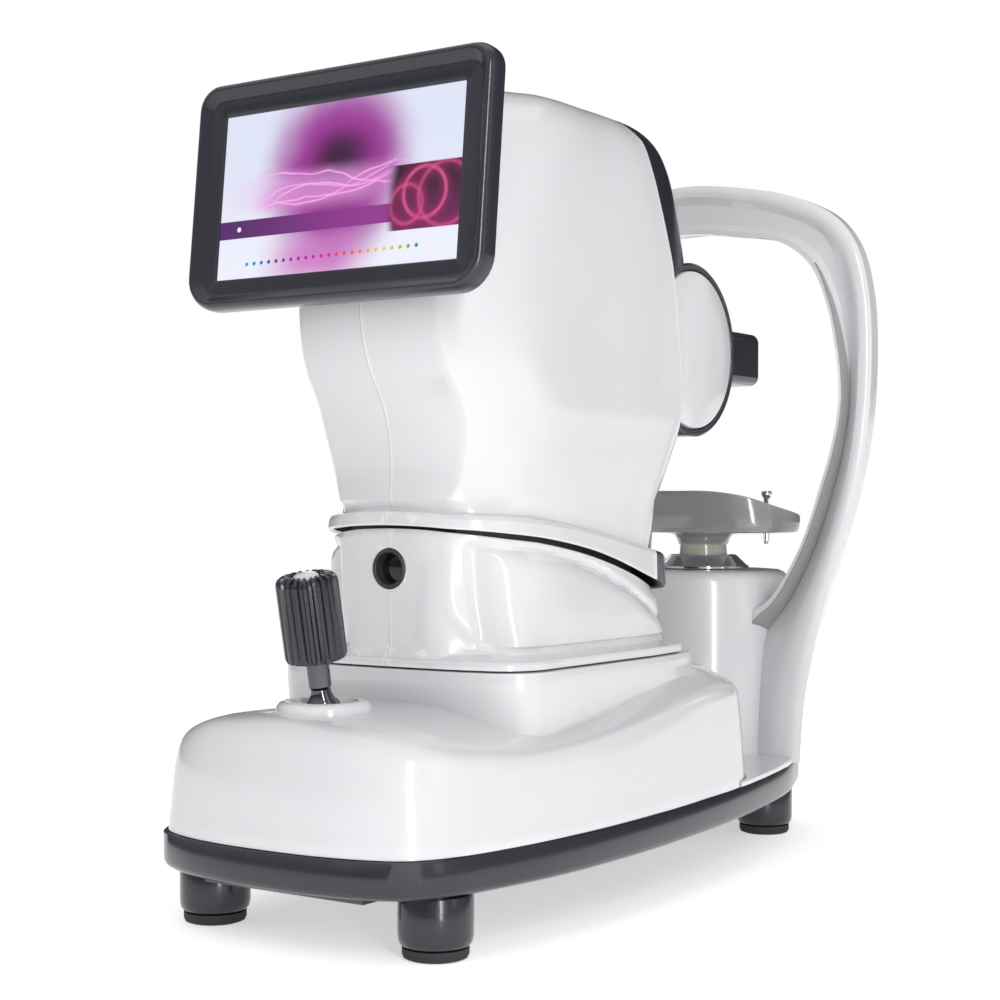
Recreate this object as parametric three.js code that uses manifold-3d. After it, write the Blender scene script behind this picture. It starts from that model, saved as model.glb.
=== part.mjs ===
// A table-top autorefractor, in millimetres. X runs to the operator's right, Y away from the operator
// towards
// the patient and Z up. The origin is on the table, under the middle of the bounding box.
import * as THREE from "three"
import { mergeVertices } from "three/addons/utils/BufferGeometryUtils.js"
import Module from "manifold-3d"

const wasm = await Module()
wasm.setup()

// ---------------------------------------------------------------- driving dimensions
const GAP = 0.3                                   // between pieces that touch
const WALL = 2.5                                  // moulded cover thickness
const STEPS = 2                                   // points sampled from one outline point to the next
const FRONT_Y = -255                              // chassis front
const REAR_Y = 255                                // chassis rear
const PAN = { bottom: 31, top: 50, wall: 3 }      // chassis band
const FOOT = { radius: 18.2, frontX: 70.5, frontY: -208, rearX: 46, rearY: 190, pad: 6 }
const PEDESTAL_TOP = 129.6
const NECK_BOTTOM = 130.6                         // the upper unit floats 1 mm over the pedestal
const STAGE_OPENING = { x: 49, front: -90, rear: 34 }
const RAIL = { radius: 5, z: 103, frontY: -88, rearY: 20, halfLength: 70 }
const FORE_RAIL = { radius: 4, x: 12, z: 121.5, front: -98, rear: 40 }
const STAGE = { bottom: 131.4, top: 135, halfWidth: 58, front: -120, rear: 20 }
const LIFT = { postX: 32, postRadius: 6, y: -40, screwRadius: 5, top: 286 }
const PORT = { y: -152.5, z: 181, radius: 10.5 }
const DRUM = { y: 68, z: 307.5, radius: 52, rim: 4, halfWidth: 60.6 }
const WINDOW = { halfWidth: 58, low: 291, high: 324, rear: 158 }
const SCREEN = { y: -196.1, z: 374.3, lean: 5.66, width: 154, height: 87 }
const MONITOR = { width: 190, height: 120.6, rise: 1, corner: 13, lowCorner: 18, front: -3, face: -0.8,
  seam: 7 }
const MONITOR_BACK = { width: 168, height: 98, corner: 10, depthLow: 6, depthHigh: 11, pinDepth: 24 }
const ARCH = { front: 164, rearLow: 190, rearHigh: 175, floorLow: 178, floorHigh: 169, low: 50.3,
  high: 425.5 }
const PILLAR = { y: 192, radius: 57, foot: 57.5, top: 172, bore: 17 }
const CHIN = { halfWidth: 68.5, bottom: 196.3, pinX: 50, pinY: 186 }
const STICK = { y: -204.5, z: 104, lean: 11.26, radius: 5.75, knob: 15.5, knobLow: 33, knobHigh: 76 }
const INLET = { y: -60, z: 70, x: -103.2 }
const ROCKER = { reach: 2, swing: 12 }            // switch paddle behind its pivot, and its whole swing

const radians = THREE.MathUtils.degToRad

// ---------------------------------------------------------------- materials
const plastic = (color, roughness) => new THREE.MeshStandardMaterial({ color, roughness, metalness: 0 })
const metal = (color, roughness) => new THREE.MeshStandardMaterial({ color, roughness, metalness: 1 })
const WHITE = plastic(0xf1f1f2, 0.25)
const SLATE = plastic(0x45454f, 0.4)
const BLACK = plastic(0x141416, 0.35)
const RUBBER = plastic(0x2a2a2e, 0.9)
const GREY = plastic(0xb9bcbe, 0.35)
const SILICONE = plastic(0xd8d9da, 0.6)
const GLASS = plastic(0x11151c, 0.05)
const SCREEN_LIT = plastic(0xb58fc4, 0.2)
const CIRCUIT = plastic(0x1f5a3a, 0.6)
const CHROME = metal(0xd6d8da, 0.12)
const STEEL = metal(0x9a9da1, 0.4)
const ALUMINIUM = metal(0xa9adb2, 0.45)

const part = new THREE.Group()

function add(name, geometry, material) {
  const mesh = new THREE.Mesh(geometry, material)
  mesh.name = name
  part.add(mesh)
  return mesh
}

// ---------------------------------------------------------------- solids
function solid(geometry) {
  const bare = geometry.clone()
  bare.deleteAttribute("normal")
  bare.deleteAttribute("uv")
  const merged = mergeVertices(bare, 1e-4)
  return new wasm.Manifold(new wasm.Mesh({
    numProp: 3,
    vertProperties: new Float32Array(merged.attributes.position.array),
    triVerts: new Uint32Array(merged.index.array),
  }))
}

function geometryOf(body) {
  const mesh = body.getMesh()
  const geometry = new THREE.BufferGeometry()
  geometry.setAttribute("position", new THREE.BufferAttribute(mesh.vertProperties, 3))
  geometry.setIndex(new THREE.BufferAttribute(mesh.triVerts, 1))
  geometry.computeVertexNormals()
  return geometry
}

const join = (...bodies) => bodies.reduce((whole, body) => whole.add(body))
const cut = (body, ...tools) => tools.reduce((rest, tool) => rest.subtract(tool), body)
const addSolid = (name, body, material) => add(name, geometryOf(body), material)

function box(x0, x1, y0, y1, z0, z1) {
  const geometry = new THREE.BoxGeometry(x1 - x0, y1 - y0, z1 - z0)
  geometry.translate((x0 + x1) / 2, (y0 + y1) / 2, (z0 + z1) / 2)
  return solid(geometry)
}

// A round bar along one axis, from low to high along it, centred on the two other coordinates.
function bar(axis, radius, low, high, a, b, sides = 16) {
  const geometry = new THREE.CylinderGeometry(radius, radius, high - low, sides)
  const middle = (low + high) / 2
  if (axis === "x") geometry.rotateZ(Math.PI / 2).translate(middle, a, b)
  if (axis === "y") geometry.translate(a, middle, b)
  if (axis === "z") geometry.rotateX(Math.PI / 2).translate(a, b, middle)
  return solid(geometry)
}

// A turned piece about the vertical line through (x, y), from [radius, z] pairs that start and end on
// the axis.
function turned(profile, x = 0, y = 0, sides = 20) {
  const points = profile.map(([radius, z]) => new THREE.Vector2(radius, z))
  const geometry = new THREE.LatheGeometry(points, sides)
  geometry.rotateX(Math.PI / 2).translate(x, y, 0)
  return solid(geometry)
}

// A flat outline in one plane, pushed along the plane's normal. An XZ outline is pushed along +Y and a
// YZ outline
// along X, both ways.
function profileXZ(points, yLow, yHigh) {
  const shape = new THREE.Shape(points.map(([x, z]) => new THREE.Vector2(x, z)))
  const geometry = new THREE.ExtrudeGeometry(shape, { depth: yHigh - yLow, bevelEnabled: false })
  geometry.rotateX(Math.PI / 2).translate(0, yHigh, 0)
  return geometry
}

function profileYZ(points, halfWidth) {
  const shape = new THREE.Shape(points.map(([y, z]) => new THREE.Vector2(y, z)))
  const geometry = new THREE.ExtrudeGeometry(shape, { depth: 2 * halfWidth, bevelEnabled: false })
  geometry.rotateX(Math.PI / 2).rotateZ(Math.PI / 2).translate(-halfWidth, 0, 0)
  return solid(geometry)
}

function roundedRectangle(width, height, corner, lowCorner = corner) {
  const x = width / 2
  const z = height / 2
  const shape = new THREE.Shape()
  shape.absarc(x - corner, z - corner, corner, 0, Math.PI / 2, false)
  shape.absarc(corner - x, z - corner, corner, Math.PI / 2, Math.PI, false)
  shape.absarc(lowCorner - x, lowCorner - z, lowCorner, Math.PI, 1.5 * Math.PI, false)
  shape.absarc(x - lowCorner, lowCorner - z, lowCorner, 1.5 * Math.PI, 2 * Math.PI, false)
  return shape.getPoints(4).slice(0, -1).map((point) => [point.x, point.y])
}

// A closed ring through one half of a symmetric outline, front centre to rear centre, as [x, y, z] points.
function ringThrough(half, steps = STEPS) {
  const right = half.map(([x, y, z]) => new THREE.Vector3(x, y, z))
  const left = right.slice(1, -1).reverse().map((point) => new THREE.Vector3(-point.x, point.y, point.z))
  const control = [...right, ...left]
  const curve = new THREE.CatmullRomCurve3(control, true, "centripetal")
  const count = control.length * steps
  return Array.from({ length: count }, (_, index) => curve.getPoint(index / count))
}

// A closed body skinned over a stack of mirrored rings, lowest first, tied straight across at both ends.
function skin(rings) {
  const count = rings[0].length
  const top = (rings.length - 1) * count
  const faces = []
  for (let side = 0; side < count; side += 1) {
    const next = (side + 1) % count
    for (let low = 0; low < top; low += count) {
      faces.push(low + side, low + next, low + count + next)
      faces.push(low + side, low + count + next, low + count + side)
    }
  }
  for (let right = 0; right < count / 2; right += 1) {
    const left = (count - right) % count
    const nextLeft = count - right - 1
    if (right > 0) {
      faces.push(left, nextLeft, right)
      faces.push(top + right, top + nextLeft, top + left)
    }
    if (nextLeft !== right + 1) {
      faces.push(nextLeft, right + 1, right)
      faces.push(top + right, top + right + 1, top + nextLeft)
    }
  }
  const geometry = new THREE.BufferGeometry().setFromPoints(rings.flat())
  geometry.setIndex(faces)
  return solid(geometry)
}

// The same outline moved inwards by a thickness in plan, and moved up or down.
function inset(half, thickness, rise = 0) {
  const width = Math.max(...half.map(([x]) => x))
  const front = half[0][1]
  const rear = half.at(-1)[1]
  const middle = (front + rear) / 2
  const depth = (rear - front) / 2
  return half.map(([x, y, z]) => [
    x * (1 - thickness / width),
    middle + (y - middle) * (1 - thickness / depth),
    z + rise,
  ])
}

const level = (half, z) => half.map(([x, y]) => [x, y, z])

// ---------------------------------------------------------------- chassis and feet
const panOutline = [
  [0, FRONT_Y], [30, -253.6], [58, -248], [78, -238], [88, -222], [96, -188], [103, -145], [106, -90],
    [105, -30],
  [100, 40], [92, 100], [81, 155], [69, 190], [57, 219], [40, 241], [20, 252.5], [0, REAR_Y],
]

function makeChassis() {
  const { bottom, top, wall } = PAN
  const outer = skin([
    ringThrough(inset(level(panOutline, bottom), 1.5)),
    ringThrough(level(panOutline, bottom + 3)),
    ringThrough(level(panOutline, top)),
  ])
  const inside = skin([
    ringThrough(inset(level(panOutline, bottom + wall), wall), 1),
    ringThrough(inset(level(panOutline, top + 5), wall), 1),
  ])
  addSolid("chassis_pan", cut(outer, inside), SLATE)
  addSolid("service_plate", box(-50, 50, -238, 140, bottom - 4, bottom - GAP), SLATE)
}

function makeFoot(name, x, y) {
  const { radius, pad } = FOOT
  const top = PAN.bottom - GAP
  const leg = turned([[0, pad], [radius - 0.8, pad], [radius, pad + 3], [radius, top], [0, top]], x, y, 16)
  const tread = turned([[0, 0], [radius - 2, 0], [radius - 2, pad - GAP], [0, pad - GAP]], x, y, 16)
  addSolid(`foot_${name}`, leg, SLATE)
  addSolid(`foot_pad_${name}`, tread, RUBBER)
}

// ---------------------------------------------------------------- base cover with its pedestal
const coverBottom = [
  [0, -253], [30, -251.6], [57, -246], [76.5, -236], [88, -216], [97, -178], [103, -125], [104.5, -65],
    [102, 0],
  [92, 72], [58, 108], [0, 114],
]
const coverShoulder = [
  [0, -248, 96], [30, -246.5, 95], [56, -241.5, 93], [74.5, -231.5, 89], [85.5, -211, 84.5], [94.5, -174,
    80.5],
  [100.5, -122, 83], [102, -63, 89], [99.5, -1, 95.5], [90, 68, 97], [56, 102, 97], [0, 108, 97],
]
const coverRound = [
  [0, -241, 107], [30, -240, 105.5], [55, -235.5, 102.5], [74.5, -226, 97.5], [85.2, -207, 93], [94, -171,
    88.5],
  [99.5, -119, 91.5], [100.5, -61, 97.5], [98.5, 0, 104], [89.5, 66, 105.5], [55.5, 98, 105.5], [0, 104,
    105.5],
]
const coverEdge = [
  [0, -231, 111.5], [30, -230, 109.8], [54, -226, 107], [73, -217, 101.5], [84, -201, 96.5], [93, -165,
    92.5],
  [97.5, -110, 95.5], [98, -50, 102], [97, 5, 108.5], [88, 62, 110], [55, 92, 110], [0, 98, 110],
]
const pedestalFoot = [
  [0, -152, 112.3], [24, -151.5, 111.4], [46, -150.5, 107.5], [66, -147, 102.5], [79, -139, 98.5],
  [83, -125, 97.5], [83.2, -85, 101.5], [83, -40, 109.5], [82.5, 5, 116.5], [78, 45, 119.5], [46, 72,
    119.5],
  [0, 76, 119.5],
]
const pedestalTop = [
  [0, -155.5], [28, -155], [50, -153.5], [68, -149.5], [80, -139.5], [83, -125], [83.2, -85], [83, -40],
    [82, 0],
  [75, 36], [44, 60], [0, 64],
]

function coverBody(thickness) {
  const steps = thickness > 0 ? 1 : STEPS
  const skirt = thickness > 0 ? 20 : 0
  return skin([
    inset(level(coverBottom, PAN.top + GAP - skirt), thickness),
    inset(coverShoulder, thickness, -thickness),
    inset(coverRound, thickness, -thickness),
    inset(coverEdge, thickness, -thickness),
    inset(pedestalFoot, thickness, -thickness),
    inset(level(pedestalTop, PEDESTAL_TOP - 2 - thickness), thickness),
    inset(level(pedestalTop, PEDESTAL_TOP - thickness), thickness + 1.2),
  ].map((half) => ringThrough(half, steps)))
}

function makeBaseCover() {
  const { x, front, rear } = STAGE_OPENING
  const opening = box(-x, x, front, rear, 115, 140)
  const bossHole = bar("z", 24.3, 95, 130, 0, STICK.y - 1, 24)
  const socket = box(INLET.x - 10, INLET.x + 18, INLET.y - 25, INLET.y + 25, INLET.z - 14.5, INLET.z + 14.5)
  addSolid("base_cover", cut(coverBody(0), coverBody(WALL), opening, bossHole, socket), WHITE)
}

function makePowerEntry() {
  const { x, y, z } = INLET
  const flange = box(x - 3.4, x - 1.4, y - 28, y + 28, z - 17, z + 17)
  const body = box(x - 1.6, x + 17, y - 24.5, y + 24.5, z - 14, z + 14)
  const plugSpace = box(x - 10, x + 14, y - 22, y + 2, z - 9, z + 9)
  const switchSpace = box(x - 10, x + 14, y + 8, y + 21, z - 11, z + 11)
  const shell = cut(join(flange, body), plugSpace, switchSpace)
  const blades = [-7, 0, 7].map((side) => box(x + 3, x + 15, y - 11 + side, y - 9 + side, z - 2, z + 2))
  addSolid("power_inlet", join(shell, ...blades), BLACK)
  const { reach, swing } = ROCKER
  const paddle = profileXZ([[-7.4, 10], [reach, 8], [reach, -8], [-7.4, -10], [-6, 0]], y + 8.7, y + 20.3)
  paddle.rotateY(-radians(swing / 2)).translate(x + 4, 0, z)
  addSolid("power_rocker", solid(paddle), BLACK)
}

// ---------------------------------------------------------------- works inside the base
function makeBed() {
  const { radius, z, frontY, rearY, halfLength } = RAIL
  const deck = box(-halfLength, halfLength, frontY - 14, rearY + 14, 90, 94)
  const window = box(-45, 45, frontY + 12, rearY - 12, 80, 100)
  const floor = PAN.bottom + PAN.wall + GAP
  const legs = [-1, 1].flatMap((side) => [frontY, rearY].map((y) => (
    box(side * 60 - 6, side * 60 + 6, y - 6, y + 6, floor, 91))))
  const blocks = [-1, 1].flatMap((side) => [frontY, rearY].map((y) => (
    box(side * 67.5 - 2.5, side * 67.5 + 2.5, y - 9, y + 9, 93, z + 8))))
  const bores = [frontY, rearY].map((y) => bar("x", radius + GAP, -80, 80, y, z))
  addSolid("bed_plate", cut(join(deck, ...legs, ...blocks), window, ...bores), ALUMINIUM)
  addSolid("cross_rail_front", bar("x", radius, -halfLength, halfLength, frontY, z), STEEL)
  addSolid("cross_rail_rear", bar("x", radius, -halfLength, halfLength, rearY, z), STEEL)
  const supply = box(-52, -8, -70, 10, floor, 78)
  addSolid("power_supply", supply, STEEL)
  const board = box(6, 52, -75, 45, 50, 51.6)
  const chips = [-60, -25, 10].map((y) => box(12, 30, y, y + 18, 51, 56))
  addSolid("main_board", join(board, ...chips), CIRCUIT)
}

function makeCarriage() {
  const { radius, z, frontY, rearY } = RAIL
  const plate = box(-36, 36, frontY - 12, FORE_RAIL.rear + 2, 110, 114)
  const shoes = [-1, 1].flatMap((side) => [frontY, rearY].map((y) => (
    box(side * 27 - 9, side * 27 + 9, y - 9, y + 9, z - 7.5, 111))))
  const bores = [frontY, rearY].map((y) => bar("x", radius + GAP, -60, 60, y, z))
  const ends = [FORE_RAIL.front + 4, FORE_RAIL.rear - 4].map((y) => box(-20, 20, y - 3.5, y + 3.5, 113,
    126.3))
  const seats = [-1, 1].map((side) => (
    bar("y", FORE_RAIL.radius + GAP, FORE_RAIL.front - 5, FORE_RAIL.rear + 5, side * FORE_RAIL.x,
      FORE_RAIL.z)))
  addSolid("cross_carriage", cut(join(plate, ...shoes, ...ends), ...bores, ...seats), ALUMINIUM)
  for (const [name, side] of [["left", -1], ["right", 1]]) {
    const { front, rear, x } = FORE_RAIL
    addSolid(`fore_rail_${name}`, bar("y", FORE_RAIL.radius, front, rear, side * x, FORE_RAIL.z), STEEL)
  }
}

function makeStage() {
  const plate = box(-STAGE.halfWidth, STAGE.halfWidth, STAGE.front, STAGE.rear, STAGE.bottom, STAGE.top)
  const shoes = [-1, 1].flatMap((side) => [-62, 4].map((y) => (
    box(side * 12 - 7, side * 12 + 7, y - 10, y + 10, 115.6, STAGE.bottom + 1))))
  const bores = [-1, 1].map((side) => (
    bar("y", FORE_RAIL.radius + GAP, -100, 60, side * FORE_RAIL.x, FORE_RAIL.z)))
  addSolid("stage_plate", cut(join(plate, ...shoes), ...bores), ALUMINIUM)
  const base = STAGE.top + GAP
  for (const [name, side] of [["left", -1], ["right", 1]]) {
    addSolid(`lift_post_${name}`, bar("z", LIFT.postRadius, base, LIFT.top, side * LIFT.postX, LIFT.y),
      STEEL)
  }
  const motor = box(-21, 21, LIFT.y - 21, LIFT.y + 21, base, 168)
  const nose = bar("z", 11, 167, 170, 0, LIFT.y)
  addSolid("lift_motor", join(motor, nose), BLACK)
  addSolid("lift_screw", bar("z", LIFT.screwRadius, 170 + GAP, LIFT.top, 0, LIFT.y, 12), STEEL)
}

// ---------------------------------------------------------------- neck of the upper unit
const flangeOutline = [
  [0, -156.5], [26, -156], [48, -154], [69, -148], [79, -134], [80, -108], [80, -55], [79, 0], [72, 30],
    [40, 40],
  [0, 42],
]
const neckLow = [
  [0, -152.5], [28, -150.5], [44, -138], [52, -133.5], [62, -125], [67, -104], [68, -55], [68, -5], [60,
    24],
  [34, 33], [0, 35],
]
const neckMiddle = [
  [0, -153], [22, -152], [35.8, -147.5], [46, -136.5], [58, -127], [66, -104], [67, -55], [67, -5], [59,
    22],
  [33, 31], [0, 33],
]
const neckHigh = [
  [0, -153], [21, -152.3], [34.2, -149], [46, -139.5], [56, -129], [63.5, -106], [65, -55], [64.5, -5],
  [57, 20], [32, 29], [0, 31],
]
// Heights round the outline, at the same eleven places: the neck's open top, and the lower and upper
// edge of the
// lip that hangs over it.
const neckTop = [202, 201.4, 200.1, 198.6, 196.8, 194.2, 186, 173, 165.4, 162.2, 162.2]
const lipLow = [203.6, 203, 201.8, 200.8, 199.2, 196.6, 188.8, 175.6, 167, 164, 164]
const lipHigh = [212, 211.5, 210.2, 209.6, 209, 207, 200.8, 192.4, 187.5, 186, 186]

const atHeights = (half, heights, rise) => half.map(([x, y], index) => [x, y, heights[index] + rise])

function neckBody(thickness) {
  const hollow = thickness > 0
  const rings = [
    inset(level(flangeOutline, NECK_BOTTOM - (hollow ? 10 : 0)), thickness),
    inset(level(flangeOutline, 134.4 - thickness), thickness + 0.6),
    inset(level(neckLow, 138 - thickness), thickness - 1),
    inset(level(neckLow, 142), thickness),
    inset(level(neckMiddle, 153), thickness),
    inset(atHeights(neckHigh, neckTop, hollow ? 10 : -1), thickness),
  ]
  if (!hollow) rings.push(inset(atHeights(neckHigh, neckTop, 0), 1))
  return skin(rings.map((half) => ringThrough(half, hollow ? 1 : STEPS)))
}

function makeNeck() {
  const shell = cut(neckBody(0), neckBody(WALL), bar("y", PORT.radius + GAP, -170, -140, 0, PORT.z))
  const half = (side) => (side > 0 ? box(0.15, 120, -200, 100, 100, 240) : box(-120, -0.15, -200, 100,
    100, 240))
  addSolid("neck_cover_left", shell.intersect(half(-1)), WHITE)
  addSolid("neck_cover_right", shell.intersect(half(1)), WHITE)
  const ring = bar("y", PORT.radius, PORT.y - 1.2, PORT.y + 7, 0, PORT.z)
  addSolid("port_ring", cut(ring, bar("y", PORT.radius - 2, PORT.y - 5, PORT.y + 10, 0, PORT.z)), BLACK)
  addSolid("port_window", bar("y", PORT.radius - 2.4, PORT.y + 3, PORT.y + 5, 0, PORT.z), GLASS)
  const collar = [
    [0, -141], [18, -140.5], [32, -138], [42, -131], [51, -119], [55.5, -100], [56, -55], [56, -10], [50,
      10],
    [30, 16], [0, 18],
  ]
  const sleeve = skin([ringThrough(level(collar, 150), 1), ringThrough(level(collar, 234), 1)])
  const bore = skin([
    ringThrough(inset(level(collar, 140), 2), 1),
    ringThrough(inset(level(collar, 240), 2), 1),
  ])
  addSolid("lift_shroud", cut(sleeve, bore), SLATE)
}

// ---------------------------------------------------------------- measuring head
// Each level of the head: height, side half-width, front centre, crease half-width, crease depth, rear
// centre.
const headLevels = [
  [216.5, 61.5, -153, 37.4, -148.2, 38],
  [232, 62.5, -152, 42.1, -146.8, 48],
  [252, 63.5, -154, 46.6, -148.8, 60],
  [267, 64.5, -159.5, 46.9, -154.4, 70],
  [286, 64.5, -171, 45.7, -166.5, 74],
  [306, 64.5, -177, 44.9, -172.2, 74],
  [330, 64.5, -177, 44.5, -172.5, 72],
  [354, 64.5, -170, 44, -166, 70],
  [388, 63.5, -154, 43, -150, 61],
  [410, 61, -137, 41, -133.5, 54],
  [424, 56.5, -121, 37.5, -118, 46],
  [433, 49, -106, 32, -104, 35],
  [438.5, 37, -91, 24, -89.5, 14],
  [442.2, 18, -70, 10, -69.5, -14],
]

function headOutline([z, side, front, creaseX, creaseY, rear]) {
  const sideFront = creaseY + 0.85 * side
  const sideRear = rear - 0.75 * side
  const middle = (sideFront + sideRear) / 2
  return [
    [0, front, z], [creaseX * 0.55, front + 0.3 * (creaseY - front), z], [creaseX, creaseY, z],
    [creaseX + 0.13 * side, creaseY + 0.24 * side, z], [side * 0.94, creaseY + 0.52 * side, z],
    [side, sideFront, z], [side, middle, z], [side, sideRear, z], [side * 0.93, rear - 0.22 * side, z],
    [side * 0.55, rear - 0.03 * side, z], [0, rear, z],
  ]
}

const lipOutline = [
  [0, -156.5], [22, -155.6], [37, -151], [49.5, -141.5], [59, -127.5], [65, -103], [67.5, -55], [67.5, -5],
  [62.5, 27], [34, 39], [0, 41],
]

function headBody(thickness) {
  const hollow = thickness > 0
  return skin([
    inset(atHeights(lipOutline, lipLow, hollow ? -14 : 0), thickness),
    inset(atHeights(lipOutline, lipHigh, -1.5 - thickness), thickness),
    inset(atHeights(inset(lipOutline, 6.5), lipHigh, -thickness), thickness),
    ...headLevels.map((row) => inset(headOutline(row), thickness, row[0] > 400 ? -thickness : 0)),
  ].map((half) => ringThrough(half, hollow ? 1 : STEPS)))
}

// Where the white covers end and the dark rear cover starts, seen from the side as [y, z].
const coverSeam = [
  [10, 150], [10, 186], [14, 194], [22.5, 213], [37.5, 237], [45, 256], [46, 280], [44, 306], [40, 330],
  [34.5, 355], [22, 387], [15, 408], [12, 424], [10, 445],
]

function makeHead() {
  const shell = cut(headBody(0), headBody(WALL))
  const behind = profileYZ([...coverSeam, [220, 445], [220, 150]], 90)
  const behindSeam = profileYZ([...coverSeam.map(([y, z]) => [y + 0.4, z]), [220, 445], [220, 150]], 90)
  const armSlot = box(-14, 14, -190, -120, SCREEN.z - 15, SCREEN.z + 11)
  const front = cut(shell, behind, armSlot)
  const half = (side) => (side > 0 ? box(0.15, 120, -200, 100, 140, 460) : box(-120, -0.15, -200, 100,
    140, 460))
  addSolid("head_cover_left", front.intersect(half(-1)), WHITE)
  addSolid("head_cover_right", front.intersect(half(1)), WHITE)

  const { y, z, radius, rim, halfWidth } = DRUM
  const wheel = cut(bar("x", radius, -halfWidth, halfWidth, y, z, 36), bar("x", radius - rim, -90, 90, y,
    z, 36))
  const dark = cut(shell.intersect(behindSeam), bar("x", radius - 1.5, -90, 90, y, z, 36))
  const slot = box(-50, 50, 90, 140, WINDOW.low + 2.5, WINDOW.high - 2.5)
  addSolid("rear_cover", cut(join(dark, wheel.intersect(behindSeam)), slot), SLATE)
  for (const [name, side] of [["left", -1], ["right", 1]]) {
    const low = side > 0 ? 57.5 : -61
    const disc = bar("x", radius - rim - 0.4, low, low + 3.5, y, z, 36)
    addSolid(`drum_cheek_${name}`, disc.intersect(behindSeam), WHITE)
  }
}

function makeWindow() {
  const { halfWidth, low, high, rear } = WINDOW
  const middle = (low + high) / 2
  const outline = roundedRectangle(2 * halfWidth, high - low, 6).map(([x, z]) => [x, z + middle])
  const nose = cut(solid(profileXZ(outline, 100, rear)), bar("x", DRUM.radius + GAP, -90, 90, DRUM.y,
    DRUM.z, 36))
  const root = box(-49, 49, 96, 122, low + 3, high - 3)
  const hollow = box(-44, 44, 80, rear - 8, low + 6, high - 6)
  const aperture = bar("y", 13, rear - 12, rear + 4, 0, middle, 24)
  addSolid("window_housing", cut(join(nose, root), hollow, aperture), SLATE)
  const ring = cut(bar("y", 12.6, rear - 7, rear - 1.5, 0, middle, 24), bar("y", 9, rear - 9, rear, 0,
    middle, 24))
  addSolid("mire_ring", ring, GLASS)
  addSolid("objective_glass", bar("y", 8.6, rear - 6, rear - 3, 0, middle, 24), GLASS)
  const barrel = bar("y", 18, -96, 88, 0, middle)
  const camera = box(-24, 24, -128, -95, middle - 22, middle + 22)
  addSolid("optical_unit", join(barrel, camera), BLACK)
}

function makeHeadFrame() {
  const { postX, postRadius, y, screwRadius } = LIFT
  const plate = box(-44, 44, -96, 2, 222, 227)
  const bushes = [-1, 1].map((side) => bar("z", 10, 205, 240, side * postX, y))
  const nut = bar("z", 9, 208, 236, 0, y)
  const cradles = [-80, -8].map((front) => box(-26, 26, front, front + 8, 226, 300))
  const bores = [-1, 1].map((side) => bar("z", postRadius + GAP, 190, 300, side * postX, y))
  const thread = bar("z", screwRadius + GAP, 190, 300, 0, y)
  const seat = bar("y", 18 + GAP, -100, 40, 0, (WINDOW.low + WINDOW.high) / 2)
  addSolid("head_frame", cut(join(plate, ...bushes, nut, ...cradles), ...bores, thread, seat), ALUMINIUM)
}

// ---------------------------------------------------------------- monitor on its tilting arm
function makeMonitor() {
  const lean = radians(SCREEN.lean)
  const place = (geometry) => geometry.rotateX(-lean).translate(0, SCREEN.y, SCREEN.z)
  const placed = (body) => solid(place(geometryOf(body)))
  const { width, height, rise, corner, lowCorner, front, face, seam } = MONITOR
  const slab = (outline, low, high) => profileXZ(outline.map(([x, z]) => [x, z + rise]), low, high)
  const casing = (less) => roundedRectangle(width - less, height - less, corner - less / 2,
    lowCorner - less / 2)
  const panel = (border, low, high) => (
    solid(profileXZ(roundedRectangle(SCREEN.width + border, SCREEN.height + border, 2), low, high)))

  const frame = cut(
    solid(slab(casing(0), front, seam)),
    solid(slab(casing(5), front - 5, face)),
    panel(0, front - 5, 3),
    panel(8, 0, seam + 5))
  addSolid("monitor_bezel", placed(frame), SLATE)
  addSolid("display_panel", placed(panel(7, GAP, 5)), SCREEN_LIT)

  // The rear shell is narrower than the bezel and thins towards its lower edge.
  const { depthLow, depthHigh, pinDepth } = MONITOR_BACK
  const shellWall = (less, low, high) => {
    const outline = roundedRectangle(MONITOR_BACK.width - less, MONITOR_BACK.height - less,
      MONITOR_BACK.corner - less / 2)
    const geometry = slab(outline, low, high)
    const position = geometry.attributes.position
    for (let index = 0; index < position.count; index += 1) {
      const share = (position.getZ(index) - rise) / MONITOR_BACK.height + 0.5
      position.setY(index, position.getY(index) * (depthLow + (depthHigh - depthLow) * share))
    }
    return solid(geometry.translate(0, seam + GAP, 0))
  }
  const shell = cut(shellWall(0, 0, 1), shellWall(6, -1, 0.75))
  const lugs = [-1, 1].map((side) => join(
    bar("x", 6, side * 16.5 - 3, side * 16.5 + 3, pinDepth, 0),
    box(side * 16.5 - 3, side * 16.5 + 3, 14.5, pinDepth, -6, 6)))
  const bore = bar("x", 3 + GAP, -40, 40, pinDepth, 0, 16)
  addSolid("monitor_back", placed(cut(join(shell, ...lugs), bore)), SLATE)
  addSolid("tilt_pin", placed(bar("x", 3, -21, 21, pinDepth, 0, 16)), STEEL)

  const knuckle = join(
    bar("x", 6, -13, 13, pinDepth, 0),
    box(-13, 13, pinDepth, 56, -6, 6),
    box(-32, 32, 46, 50, -12, 12))
  addSolid("monitor_mount", placed(cut(knuckle, bore)), ALUMINIUM)
}

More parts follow.
